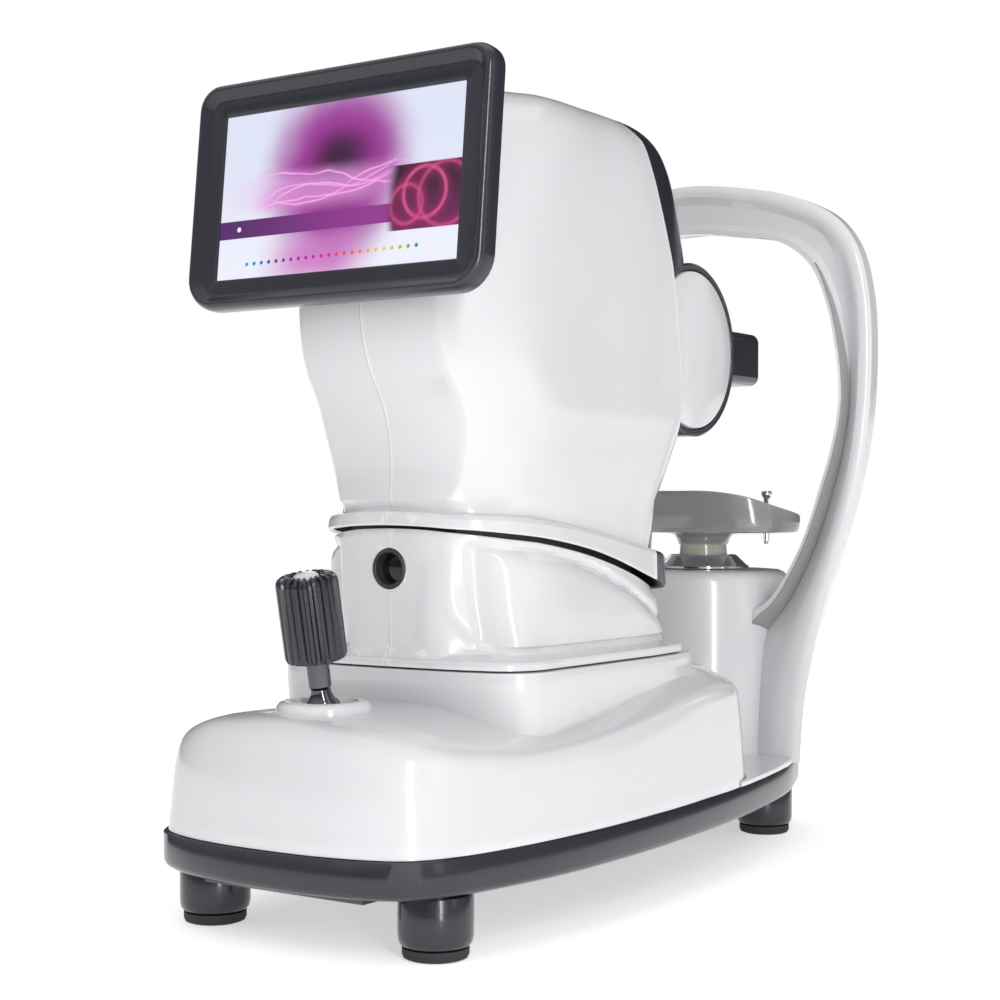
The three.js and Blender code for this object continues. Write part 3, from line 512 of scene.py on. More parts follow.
def finish(piece, body, material, slot, nodes=(), bevel=0.0, segments=3, angle=35):
    """Shades, bevels, colours and hangs a piece on its body."""
    piece.data.materials.clear()
    piece.data.materials.append(material)
    for face in piece.data.polygons:
        face.use_smooth = True
    piece.data.set_sharp_from_angle(angle=math.radians(angle))
    if bevel:
        modifier(
            piece, "BEVEL", width=bevel * MM, segments=segments, limit_method="ANGLE",
            angle_limit=math.radians(angle), harden_normals=True, use_clamp_overlap=True,
        )
    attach(piece, body)
    if nodes:
        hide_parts(*nodes)
    return piece


def shell(name, bm, thickness=WALL):
    """An open surface given a wall on its inner side."""
    piece = mesh_object(name, bm)
    modifier(piece, "SOLIDIFY", thickness=thickness * MM, offset=-1, use_even_offset=False)
    bpy.context.view_layer.update()
    apply_modifiers(piece)
    return piece


def leaned(bm, lean, y, z):
    """Leans a piece back about the X axis and moves it into place."""
    turn = Matrix.Translation((0, y, z)) @ Matrix.Rotation(math.radians(lean), 4, "X")
    bmesh.ops.transform(bm, matrix=turn, verts=bm.verts)
    return bm


def node_finish(material, *names, bevel=0.4):
    """A better surface, and softened edges, for CAD nodes that keep their shape."""
    for name in names:
        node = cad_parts[name]
        node.data.materials.clear()
        node.data.materials.append(material)
        if bevel:
            modifier(node, "WELD", merge_threshold=0.00002)
            modifier(
                node, "BEVEL", width=bevel * MM, segments=2, limit_method="ANGLE",
                angle_limit=math.radians(50), harden_normals=False,
            )


# ------------------------------------------------------------------ chassis and feet
PAN_OUTLINE = [
    (0, -255), (30, -253.6), (58, -248), (78, -238), (88, -222), (96, -188), (103, -145), (106, -90),
    (105, -30), (100, 40), (92, 100), (81, 155), (69, 190), (57, 219), (40, 241), (20, 252.5), (0, 255),
]


def make_chassis():
    rows = [
        inset(level(PAN_OUTLINE, 31), 6), inset(level(PAN_OUTLINE, 31.4), 3.4),
        inset(level(PAN_OUTLINE, 33), 1.2), inset(level(PAN_OUTLINE, 35.5), 0.2), level(PAN_OUTLINE, 49.2),
        inset(level(PAN_OUTLINE, 50), 0.8), inset(level(PAN_OUTLINE, 49.6), 3.4),
        inset(level(PAN_OUTLINE, 40), 3.6),
    ]
    band = mesh_object("chassis_band", loft([whole_ring(half_ring(row, 6)) for row in rows], low_cap=True))
    finish(band, "base", SLATE, "slate_plastic", ["chassis_pan"], angle=50)
    node_finish(PLATE, "service_plate", bevel=0.8)


def make_feet():
    for end, side_x, y in (("front", 70.5, -208), ("rear", 46, 190)):
        for side, sign in (("left", -1), ("right", 1)):
            x = sign * side_x
            leg = mesh_object(
                f"leg_{end}_{side}",
                turned(
                    [
                        (0, 6.2), (15, 6.2), (16.6, 6.6), (17.6, 8), (18.1, 11), (18.2, 29.5), (17.6, 30.6),
                        (0, 30.6),
                    ],
                    x, y,
                ),
            )
            finish(leg, "base", SLATE, "slate_plastic", [f"foot_{end}_{side}"])
            tread = mesh_object(
                f"tread_{end}_{side}",
                turned(
                    [(0, 0.6), (8, 0.6), (8.6, 0), (13.6, 0), (15.4, 0.7), (16.1, 2.4), (16.1, 5.4), (0, 5.6)],
                    x, y,
                ),
            )
            finish(tread, "base", RUBBER, "rubber", [f"foot_pad_{end}_{side}"])


# ------------------------------------------------------------------ base cover
COVER_BOTTOM = [
    (0, -253, 50.3), (30, -251.6, 50.3), (57, -246, 50.3), (76.5, -236, 50.3), (88, -216, 50.3),
    (97, -178, 50.3), (103, -125, 50.3), (104.5, -65, 50.3), (102, 0, 50.3), (92, 72, 50.3),
    (58, 108, 50.3), (0, 114, 50.3),
]
COVER_SHOULDER = [
    (0, -248, 96), (30, -246.5, 95), (56, -241.5, 93), (74.5, -231.5, 89), (85.5, -211, 84.5),
    (94.5, -174, 80.5), (100.5, -122, 83), (102, -63, 89), (99.5, -1, 95.5), (90, 68, 97), (56, 102, 97),
    (0, 108, 97),
]
COVER_ROUND = [
    (0, -241, 107), (30, -240, 105.5), (55, -235.5, 102.5), (74.5, -226, 97.5), (85.2, -207, 93),
    (94, -171, 88.5), (99.5, -119, 91.5), (100.5, -61, 97.5), (98.5, 0, 104), (89.5, 66, 105.5),
    (55.5, 98, 105.5), (0, 104, 105.5),
]
COVER_EDGE = [
    (0, -231, 111.5), (30, -230, 109.8), (54, -226, 107), (73, -217, 101.5), (84, -201, 96.5),
    (93, -165, 92.5), (97.5, -110, 95.5), (98, -50, 102), (97, 5, 108.5), (88, 62, 110), (55, 92, 110),
    (0, 98, 110),
]
PEDESTAL_FOOT = [
    (0, -152, 112.3), (24, -151.5, 111.4), (46, -150.5, 107.5), (66, -147, 102.5), (79, -139, 98.5),
    (83, -125, 97.5), (83.2, -85, 101.5), (83, -40, 109.5), (82.5, 5, 116.5), (78, 45, 119.5),
    (46, 72, 119.5), (0, 76, 119.5),
]
PEDESTAL_TOP = [
    (0, -155.5, 129.6), (28, -155, 129.6), (50, -153.5, 129.6), (68, -149.5, 129.6), (80, -139.5, 129.6),
    (83, -125, 129.6), (83.2, -85, 129.6), (83, -40, 129.6), (82, 0, 129.6), (75, 36, 129.6), (44, 60, 129.6),
    (0, 64, 129.6),
]


# Openings, as the lowest and highest x, y and z of each.
LIFT_OPENING = (-49, 49, -90, 34, 112, 140)
INLET_OPENING = (-114, -90, -85, -35, 55.5, 84.5)


def make_base_cover():
    lower = rise_through([COVER_BOTTOM, COVER_SHOULDER, COVER_ROUND, COVER_EDGE, PEDESTAL_FOOT], 6)
    upper = [
        PEDESTAL_FOOT, inset(level(PEDESTAL_TOP, 122), -0.4), level(PEDESTAL_TOP, 128),
        inset(level(PEDESTAL_TOP, 129.3), 0.5), inset(PEDESTAL_TOP, 1.6),
    ]
    wall = rise_through(upper[:3], 4)
    rows = [*lower, *wall[1:], *upper[3:]]
    rings = [whole_ring(half_ring(row, 6)) for row in rows]
    cover = shell("base_shell", loft(rings, high_cap=True))
    carve(
        cover,
        turned([(0, 90), (23.5, 90), (23.5, 125), (0, 125)], 0, STICK["y"] - 1),
        block(*LIFT_OPENING),
        block(*INLET_OPENING),
    )
    finish(cover, "base", WHITE, "white_plastic", ["base_cover"], angle=40)


# ------------------------------------------------------------------ neck
FLANGE = [
    (0, -156.5), (26, -156), (48, -154), (69, -148), (79, -134), (80, -108), (80, -55), (79, 0), (72, 30),
    (40, 40), (0, 42),
]
NECK_LOW = [
    (0, -152.5), (28, -150.5), (44.2, -136.5), (52, -133.5), (62, -125), (67, -104), (68, -55), (68, -5),
    (60, 24), (34, 33), (0, 35),
]
NECK_MIDDLE = [
    (0, -153), (22, -152), (35.8, -147.2), (46, -136.5), (58, -127), (66, -104), (67, -55), (67, -5),
    (59, 22), (33, 31), (0, 33),
]
NECK_HIGH = [
    (0, -153), (21, -152.3), (34.2, -149), (46, -139.5), (56, -129), (63.5, -106), (65, -55), (64.5, -5),
    (57, 20), (32, 29), (0, 31),
]
NECK_TOP = [202, 201.4, 200.1, 198.6, 196.8, 194.2, 186, 173, 165.4, 162.2, 162.2]
LIP_LOW = [203.6, 203, 201.8, 200.8, 199.2, 196.6, 188.8, 175.6, 167, 164, 164]
LIP_HIGH = [212, 211.5, 210.2, 209.6, 209, 207, 200.8, 192.4, 187.5, 186, 186]


def neck_panel_height(y):
    """Height of the upper edge of the raised side panel."""
    return 192 - 0.0021 * max(0, y + 139) ** 1.96


def raise_panel(rows):
    """Presses a groove round the raised panel on each side of the neck."""
    for row in rows:
        for index, point in enumerate(row):
            x, y, z = point
            if x < 40 or y > 24:
                continue
            front = -140 + (192 - z) * 0.10
            top = neck_panel_height(y)
            inside = min(y - front, (top - z) * 1.3)
            groove = max(0, 1 - abs(inside) / 4.5)
            swell = min(1, max(0, inside / 13))
            push = -1.8 * groove**2 * (3 - 2 * groove) + 2.6 * swell**2 * (3 - 2 * swell)
            outward = Vector((x, (y + 60) * 0.25, 0)).normalized()
            row[index] = point + outward * push
    return rows


def soften(row, index, rounds):
    """The row with its corner at one point worn round."""
    row = list(row)
    for _ in range(rounds):
        before = list(row)
        for place in (index - 1, index, index + 1):
            row[place] = before[place] * 0.5 + (before[place - 1] + before[place + 1]) * 0.25
    return row


def both_halves(name, rows, body, material, slot, nodes, angle=30, cutters=None, thickness=WALL):
    """The right and left moulding of a cover that is split down its middle."""
    for side, sign in (("left", -1), ("right", 1)):
        rings = [[(sign * max(x, 0.15), y, z) for x, y, z in row] for row in rows]
        cover = shell(f"{name}_{side}", loft(rings, closed=False), thickness)
        if cutters:
            carve(cover, *cutters())
        finish(cover, body, material, slot, [f"{nodes}_{side}"], bevel=1.0, segments=3, angle=angle)


def make_neck():
    base = [level(FLANGE, 130.6), inset(level(FLANGE, 133.4), 0.1), inset(level(FLANGE, 134.6), 0.9)]
    foot = [inset(level(FLANGE, 134.8), 2.2), inset(level(NECK_LOW, 137), -1.6), level(NECK_LOW, 140)]
    wall = rise_through(
        [level(NECK_LOW, 140), level(NECK_MIDDLE, 160), at_heights(NECK_HIGH, NECK_TOP, -1)], 15,
    )
    rim = [inset(at_heights(NECK_HIGH, NECK_TOP, -0.2), 0.3), inset(at_heights(NECK_HIGH, NECK_TOP), 1.2)]
    side_steps = 11
    low_rows = [half_ring(row, side_steps, (2,)) for row in [*base, *foot]]
    wall_rows = raise_panel([soften(half_ring(row, side_steps, (2,)), 2 * side_steps, 3) for row in wall[1:]])
    rim_rows = [soften(half_ring(row, side_steps, (2,)), 2 * side_steps, 3) for row in rim]

    def port_hole():
        hole = turned([(0, -20), (PORT["radius"] + 0.3, -20), (PORT["radius"] + 0.3, 20), (0, 20)])
        return [turn_to(hole, "y", 0, PORT["y"], PORT["z"])]

    both_halves(
        "neck_shell", [*low_rows, *wall_rows, *rim_rows], "stage", WHITE, "white_plastic", "neck_cover", 28,
        port_hole,
    )
    radius = PORT["radius"]
    ring = turned([
        (radius, -7), (radius, 1.0), (radius - 0.4, 1.4), (radius - 1.6, 1.4), (radius - 2.1, 1.0),
        (radius - 2.4, -7), (radius, -7),
    ])
    bezel = mesh_object("port_bezel", turn_to(ring, "-y", 0, PORT["y"], PORT["z"]))
    finish(bezel, "stage", DEEP, "black_plastic", ["port_ring"])
    lens = turned([(0, -3.6), (5, -3.8), (radius - 2.6, -4.4), (radius - 2.6, -6), (0, -6)])
    window = mesh_object("port_lens", turn_to(lens, "-y", 0, PORT["y"], PORT["z"]))
    finish(window, "stage", GLASS, "dark_glass", ["port_window"])
    node_finish(DEEP, "lift_shroud", bevel=0)


# ------------------------------------------------------------------ measuring head
HEAD_LEVELS = [
    (216.5, 61.5, -153, 37.4, -148.2, 38), (232, 62.5, -152, 42.1, -146.8, 48),
    (252, 63.5, -154, 46.6, -148.8, 60), (267, 64.5, -159.5, 46.9, -154.4, 70),
    (286, 64.5, -171, 45.7, -166.5, 74), (306, 64.5, -177, 44.9, -172.2, 74),
    (330, 64.5, -177, 44.5, -172.5, 72), (354, 64.5, -170, 44, -166, 70), (388, 63.5, -154, 43, -150, 61),
    (410, 61, -137, 41, -133.5, 54), (424, 56.5, -121, 37.5, -118, 46), (433, 49, -106, 32, -104, 35),
    (438.5, 37, -91, 24, -89.5, 14), (442.2, 18, -70, 10, -69.5, -14),
]
LIP = [
    (0, -156.5), (22, -155.6), (37, -151), (49.5, -141.5), (59, -127.5), (65, -103), (67.5, -55), (67.5, -5),
    (62.5, 27), (34, 39), (0, 41),
]
SEAM = [
    (10, 150), (10, 186), (14, 194), (22.5, 213), (37.5, 237), (45, 256), (46, 280), (44, 306), (40, 330),
    (34.5, 355), (22, 387), (15, 408), (12, 424), (3, 433), (-8, 439), (-24, 442.6),
]


def head_outline(z, side, front, crease_x, crease_y, rear):
    side_front = crease_y + 0.85 * side
    side_rear = rear - 0.75 * side
    return [
        (0, front, z), (crease_x * 0.55, front + 0.3 * (crease_y - front), z), (crease_x, crease_y, z),
        (crease_x + 0.13 * side, crease_y + 0.24 * side, z), (side * 0.94, crease_y + 0.52 * side, z),
        (side, side_front, z), (side, (side_front + side_rear) / 2, z), (side, side_rear, z),
        (side * 0.93, rear - 0.22 * side, z), (side * 0.55, rear - 0.03 * side, z), (0, rear, z),
    ]


def seam_y(z):
    for (y0, z0), (y1, z1) in zip(SEAM, SEAM[1:]):
        if z0 <= z <= z1:
            return y0 + (y1 - y0) * (z - z0) / (z1 - z0)
    return SEAM[-1][0]


def resample(points, count):
    """The same path with evenly spaced points."""
    lengths = [0.0]
    for a, b in zip(points, points[1:]):
        lengths.append(lengths[-1] + (b - a).length)
    made = []
    place = 0
    for step in range(count):
        wanted = lengths[-1] * step / (count - 1)
        while place < len(points) - 2 and lengths[place + 1] < wanted:
            place += 1
        span = max(lengths[place + 1] - lengths[place], 1e-9)
        made.append(points[place].lerp(points[place + 1], (wanted - lengths[place]) / span))
    return made


def split_at_seam(right):
    """The part of a half ring before the seam, and the part behind it."""
    for index, (a, b) in enumerate(zip(right, right[1:])):
        gap_a, gap_b = a.y - seam_y(a.z), b.y - seam_y(b.z)
        if gap_a < 0 <= gap_b:
            crossing = a.lerp(b, gap_a / (gap_a - gap_b))
            return [*right[: index + 1], crossing], [crossing, *right[index + 1 :]]
    raise ValueError("the outline doesn't reach the seam")


def make_head():
    lip = [
        at_heights(LIP, LIP_LOW), inset(at_heights(LIP, LIP_LOW, 1.2), -0.5),
        inset(at_heights(LIP, LIP_HIGH, -3.4), 0), inset(at_heights(LIP, LIP_HIGH, -1.4), 1.2),
        inset(at_heights(LIP, LIP_HIGH, -0.5), 3.4), inset(at_heights(LIP, LIP_HIGH, -0.4), 5.4),
    ]
    body = rise_through(
        [at_heights(inset(level(LIP, 0), 6.4), LIP_HIGH, 0.4), *(head_outline(*row) for row in HEAD_LEVELS)],
        5, (1,),
    )
    rows = [half_ring(row, 8, (2,)) for row in [*lip, *body]]
    front_rows, rear_rows = [], []
    for row in rows:
        front, rear = split_at_seam(row)
        crease = 2 * 8
        front_row = [*resample(front[: crease + 1], 18)[:-1], *resample(front[crease:], 60)]
        front_rows.append(soften(front_row, 17, 1))
        rear_rows.append(resample(rear, 40))
    for part in (front_rows, rear_rows):
        part.append([Vector((0, point.y, point.z + 0.6)) for point in part[-1]])
    both_halves("head_shell", front_rows, "head", WHITE, "white_plastic", "head_cover", 24)

    rear_rings = []
    for row in rear_rows:
        pulled = [point + Vector((0, 0.45, 0)) if index == 0 else point for index, point in enumerate(row)]
        rear_rings.append([*pulled, *(Vector(mirrored(point)) for point in reversed(pulled[:-1]))])
    drum_space = turned([(0, -90), (DRUM["radius"] - 1, -90), (DRUM["radius"] - 1, 90), (0, 90)], steps=96)
    cover = shell("rear_shell", loft(rear_rings, closed=False))
    carve(cover, turn_to(drum_space, "x", 0, DRUM["y"], DRUM["z"]))
    finish(cover, "head", SLATE, "slate_plastic", ["rear_cover"], angle=30)


REAR_COVER_SPACE = (-70, 70, 0, 36, 240, 370)
WINDOW_POCKET = (-50, 50, 95, 130, 293.5, 321.5)


def make_drum():
    radius = DRUM["radius"]
    tyre = turned(
        [
            (radius - 4, -59.5), (radius - 3.4, -60.4), (radius - 1.2, -60.6), (radius, -59.4),
            (radius, 59.4), (radius - 1.2, 60.6), (radius - 3.4, 60.4), (radius - 4, 59.5),
            (radius - 4, -59.5),
        ],
        steps=96,
    )
    wheel = mesh_object("drum_tyre", turn_to(tyre, "x", 0, DRUM["y"], DRUM["z"]))
    carve(wheel, block(*REAR_COVER_SPACE), block(*WINDOW_POCKET))
    finish(wheel, "head", SLATE, "slate_plastic", angle=35)
    for side, sign in (("left", -1), ("right", 1)):
        disc = turned(
            [
                (0, 57.5), (radius - 4.6, 57.5), (radius - 4.4, 58.4), (radius - 5.2, 60.4),
                (radius - 7, 61.2), (radius - 20, 61.9), (0, 62.2),
            ],
            steps=96,
        )
        turn_to(disc, "x", 0, DRUM["y"], DRUM["z"])
        if sign < 0:
            bmesh.ops.scale(disc, vec=(-1, 1, 1), verts=disc.verts)
        cheek = mesh_object(f"cheek_{side}", disc)
        carve(cheek, block(*REAR_COVER_SPACE))
        finish(cheek, "head", WHITE, "white_plastic", [f"drum_cheek_{side}"], angle=40)


def make_window():
    node_finish(SLATE, "window_housing", bevel=2.0)
    z = DRUM["z"]
    ring = turned([(9.2, 1), (9.2, 4.6), (10, 5.4), (11.8, 5.4), (12.5, 4.8), (12.5, 0), (9.2, 1)])
    lit = mesh_object("ring_lens", turn_to(ring, "y", 0, 151.2, z))
    finish(lit, "head", GLASS, "dark_glass", ["mire_ring"])
    lens = turned([(0, 0), (8.5, 0), (8.5, 1.6), (5, 2.7), (0, 3.2)])
    glass = mesh_object("front_lens", turn_to(lens, "y", 0, 152, z))
    finish(glass, "head", GLASS, "dark_glass", ["objective_glass"])


# ------------------------------------------------------------------ monitor
def rounded_rectangle(width, height, corner, low_corner, rise, depth, per_corner=8):
    """A rounded rectangle facing the operator, as a ring at one depth."""
    made = []
    half_width, half_height = width / 2, height / 2
    for quarter, radius in enumerate((corner, corner, low_corner, low_corner)):
        sign_x = 1 if quarter in (0, 3) else -1
        sign_z = 1 if quarter < 2 else -1
        for step in range(per_corner + 1):
            angle = math.pi / 2 * (quarter + step / per_corner)
            made.append(Vector((
                sign_x * (half_width - radius) + radius * math.cos(angle),
                depth,
                sign_z * (half_height - radius) + radius * math.sin(angle) + rise,
            )))
    return made


def make_monitor():
    rings = []
    for share, depth in (
        (0.09, 7.0), (0.0, 6.2), (-0.01, 2.0), (0.0, -0.2), (0.045, -2.6), (0.1, -4.0), (0.16, -4.6),
        (0.21, -4.6), (0.25, -4.2), (0.44, -0.6), (0.47, -0.35), (0.53, -0.3), (0.97, -0.4), (1.0, 0.0),
        (1.0, 2.6), (0.8, 3.0), (0.72, 3.2), (0.68, 5.5), (0.585, 5.7), (0.56, 7.0), (0.09, 7.0),
    ):
        outer = rounded_rectangle(
            MONITOR["width"], MONITOR["height"], MONITOR["corner"], MONITOR["low_corner"], MONITOR["rise"],
            depth,
        )
        inner = rounded_rectangle(SCREEN["width"], SCREEN["height"], 0.6, 0.6, 0, depth)
        rings.append([a.lerp(b, share) for a, b in zip(outer, inner)])
    bezel = mesh_object("screen_bezel", leaned(loft(rings), -SCREEN["lean"], SCREEN["y"], SCREEN["z"]))
    finish(bezel, "monitor", SLATE, "slate_plastic", ["monitor_bezel"], angle=40)
    node_finish(PICTURE, "display_panel", bevel=0)
    node_finish(SLATE, "monitor_back", bevel=0.8)
    node_finish(STEEL, "tilt_pin", bevel=0.3)
    node_finish(ALUMINIUM, "monitor_mount", bevel=0.6)


# ------------------------------------------------------------------ arch
ARCH_OUTER = [
    (0, 425.5), (40, 421), (80, 411), (108, 396), (122, 377), (129.5, 348), (131.5, 310), (129, 266),
    (121, 222), (108, 178), (95, 135), (86, 92), (82.5, 52), (82.4, 50.3),
]
ARCH_INNER = [
    (0, 393.5), (42, 389), (70, 383), (90, 368), (101, 345), (108, 312), (110, 280), (106, 255), (98, 228),
    (83, 187), (63, 155), (44, 141), (28, 110), (20, 50.3),
]
GROOVE_OUTER = [
    (0, 417), (38, 412), (72, 403), (98, 390), (112, 372), (119, 347), (122, 310), (120, 268), (112, 226),
    (97, 181), (79, 140), (64, 104), (57.5, 62), (56.5, 50.3),
]
GROOVE_INNER = [
    (0, 396.5), (43, 392), (72, 386), (92.5, 370.5), (103.6, 346), (110.8, 312), (112.8, 280), (108.6, 254),
    (100.6, 226.5), (85.6, 186), (66, 153), (50, 138), (38, 108), (30, 50.3),
]
ARCH_FRONT, ARCH_LOW, ARCH_HIGH = 164, 50.3, 425.5


def arch_sections(steps=8):
    """Closed cross-sections of the right leg, from the top centre down."""
    flat = [[(x, 0, z) for x, z in line] for line in (ARCH_OUTER, GROOVE_OUTER, GROOVE_INNER, ARCH_INNER)]
    outer, rim, lip, inner = (curve(line, steps, mirrored(line[1])) for line in flat)
    sections = []
    for index, (out, groove_out, groove_in, within) in enumerate(zip(outer, rim, lip, inner)):
        height = (out.z - ARCH_LOW) / (ARCH_HIGH - ARCH_LOW)
        rear = 190 - 15 * height
        deep = 178.5 - 9 * height
        gather = 12 * (1 - height) ** 2
        along = index / steps
        flatness = max(0.0, min(1.0, (5.2 - along) / 2.2))
        floor_near = groove_in.lerp(groove_out, 0.22)
        floor_far = groove_in.lerp(groove_out, 0.34 + 0.48 * flatness)
        behind = out + Vector((-gather, 0, 0)) if out.x > gather + 20 else out
        lip_points = [
            (out.lerp(groove_out, share), ARCH_FRONT + back)
            for share, back in ((0, 3), (0.16, 1), (0.36, 0.1), (0.62, 0), (0.86, 0.5), (1, 1.8))
        ]
        sections.append([
            Vector((point.x, y, point.z))
            for point, y in (
                *lip_points,
                (floor_far, ARCH_FRONT + (deep - ARCH_FRONT) * (0.75 + 0.2 * flatness)),
                (floor_near, deep),
                (groove_in, ARCH_FRONT + 0.6),
                (within, ARCH_FRONT + 0.6),
                (within, rear),
                (behind, rear),
            )
        ])
    return sections


def pillar_space():
    """What the arch leaves free for the pillar."""
    radius, top = PILLAR["radius"] + 0.4, PILLAR["top"] - 0.5
    return turned([(0, 40), (radius, 40), (radius, top), (0, top)], 0, PILLAR["y"], 96)


def make_arch():
    right = arch_sections()
    left = [[Vector(mirrored(point)) for point in section] for section in right[1:]]
    arch = mesh_object("forehead_arch", loft([*reversed(left), *right], low_cap=True, high_cap=True))
    carve(arch, pillar_space())
    finish(arch, "base", WHITE, "white_plastic", ["arch_frame"], bevel=1.1, segments=3, angle=32)

    # Painted shade: a thin grey sheet over the groove's inner wall beside the inner lip of each leg, where the
    # groove lies in shadow.
    for side, sign in (("left", -1), ("right", 1)):
        sections = []
        for step, section in enumerate(right[25:92]):
            groove_in = section[8]
            floor_near = groove_in.lerp(section[7], min(1, 0.05 + step / 26))
            hidden = Vector((-0.8, 0, 0))
            proud = Vector((0.5, 0, 0))
            corners = (floor_near + hidden, floor_near + proud, groove_in + proud, groove_in + hidden)
            sections.append([Vector((sign * point.x, point.y - 0.2, point.z)) for point in corners])
        shade_sheet = mesh_object(f"arch_groove_shade_{side}", loft(sections, low_cap=True, high_cap=True))
        carve(shade_sheet, pillar_space())
        finish(shade_sheet, "base", GROOVE_SHADE_PAINT, "grey_plastic", angle=40)

    face = curve([(0, 189), (22, 190), (40, 194.5), (52, 200)], 8, (-22, 190))
    back = curve([(0, 180), (24, 181), (44, 186), (52, 192)], 8, (-24, 181))
    edge = [*((-x, y) for x, y in reversed([(p.x, p.y) for p in face[1:]])), *((p.x, p.y) for p in face)]
    rear_edge = [(p.x, p.y) for p in reversed(back)] + [(-p.x, p.y) for p in back[1:]]
    outline = edge + rear_edge
    middle = sum(y for _, y in outline) / len(outline)
    rings = []
    for z, squeeze in (
        (395, 0.55), (396.2, 0.86), (399, 1), (408, 1.03), (417, 1), (419.8, 0.86), (421, 0.55),
    ):
        rings.append([
            Vector((x * (0.985 + 0.015 * squeeze), middle + (y - middle) * squeeze, z))
            for x, y in outline
        ])
    pad = mesh_object("brow_rest", loft(rings, low_cap=True, high_cap=True))
    finish(pad, "base", SILICONE, "silicone", ["forehead_pad"], angle=60)


# ------------------------------------------------------------------ pillar and chin rest
def make_pillar():
    y, radius, top = PILLAR["y"], PILLAR["radius"], PILLAR["top"]
    profile = [
        (radius + 0.5, 50.4), (radius + 0.3, 60), (radius, 90), (radius, top - 9), (radius - 0.9, top - 5),
        (radius - 3.2, top - 1.9), (radius - 6.5, top - 0.4), (radius - 12, top), (24, top), (17.4, top),
        (17.2, top - 4), (17.2, top - 20),
    ]
    tower = shell("pillar_shell", turned(profile, 0, y, 96), 2.2)
    finish(tower, "base", WHITE, "white_plastic", ["chin_pillar"], angle=40)
    skirt_rows = [
        level(PAN_OUTLINE, 50.35), level(PAN_OUTLINE, 52.6), inset(level(PAN_OUTLINE, 53.3), 0.8),
        inset(level(PAN_OUTLINE, 53.4), 9),
    ]
    skirt_rings = [whole_ring(half_ring(row, 6)) for row in skirt_rows]
    skirt = mesh_object("rear_skirt", loft(skirt_rings, low_cap=True, high_cap=True))
    cover_space = [whole_ring(half_ring(inset(level(COVER_BOTTOM, z), -0.4), 6)) for z in (40, 60)]
    carve(
        skirt, loft(cover_space, low_cap=True, high_cap=True), block(-130, 130, -300, 55, 40, 60),
        turned([(0, 40), (56.5, 40), (56.5, 60), (0, 60)], 0, y, 96),
    )
    finish(skirt, "base", WHITE, "white_plastic", angle=40)

    collar = turned(
        [
            (17.3, 172.3), (29.5, 172.3), (30.4, 172.9), (30.2, 174), (29, 174.6), (22.6, 180.8),
            (21.6, 181.5), (18, 181.6), (17.3, 181), (17.3, 172.3),
        ],
        0, y, 96,
    )
    finish(mesh_object("collar_ring", collar), "base", CHROME, "chrome", ["chin_collar"])
    shaft = turned(
        [(0, 62), (15.8, 62), (16, 64), (16, 182), (15.2, 190), (15.2, 195.6), (0, 195.6)], 0, y, 72,
    )
    finish(mesh_object("chin_column", shaft), "chin_rest", CREAM, "cream_plastic", ["chin_shaft"], angle=25)


CUP = [(0, 154), (26, 155), (48, 161), (63, 174), (68.5, 190), (64, 206), (48, 216), (24, 214), (0, 211)]
CUP_RIM = [224, 223.5, 220, 214, 210, 208, 208, 208, 208]


def make_chin_cup():
    flat = level(CUP, 196.3)
    rim = at_heights(CUP, CUP_RIM)
    rows = [
        inset(flat, 18), inset(flat, 4), inset(level(CUP, 197), 1.6), inset(level(CUP, 199), 0.4),
        level(CUP, 201), at_heights(CUP, CUP_RIM, -1.2), inset(at_heights(CUP, CUP_RIM, -0.2), 0.5),
        inset(rim, 1.6), inset(at_heights(CUP, CUP_RIM, -0.8), 2.8), inset(at_heights(CUP, CUP_RIM, -4), 7),
        inset(at_heights(CUP, [206, 206, 206, 206, 206, 206, 206, 206, 206]), 14),
    ]
    rings = [whole_ring(half_ring(row, 7)) for row in rows]
    cup = mesh_object("chin_tray", loft(rings, low_cap=True, high_cap=True))
    dish = bmesh.new()
    bmesh.ops.create_uvsphere(dish, u_segments=64, v_segments=32, radius=1)
    hollow = Matrix.Translation((0, 208, 226)) @ Matrix.Diagonal((46, 44, 24, 1))
    bmesh.ops.transform(dish, matrix=hollow, verts=dish.verts)
    pins = [turned([(0, 180), (2.5, 180), (2.5, 240), (0, 240)], side * 50, 186, 24) for side in (-1, 1)]
    carve(cup, *pins, dish)
    finish(cup, "chin_rest", SMOKE, "grey_plastic", ["chin_cup"], angle=35)
    hub = turned([
        (15.4, 188.4), (16.6, 188.4), (17.2, 190.4), (18.3, 192.9), (20.6, 195), (25, 196.3), (25, 197.4),
        (15.4, 197.4), (15.4, 188.4),
    ], 0, PILLAR["y"], 72)
    finish(mesh_object("tray_hub", hub), "chin_rest", SMOKE, "grey_plastic", angle=40)
    for side, sign in (("left", -1), ("right", 1)):
        pin = turned(
            [
                (0, 189), (1.3, 189.2), (1.9, 190.4), (2, 192), (2, 218.6), (2.3, 219.4), (3.2, 220.4),
                (3.6, 221.7), (3.4, 223.2), (2.4, 223.8), (0, 223.8),
            ],
            sign * 50, 186, 32,
        )
        finish(
            mesh_object(f"paper_pin_{side}", pin), f"chin_pin_{side}", CHROME, "chrome",
            [f"chin_pin_{side}"],
        )


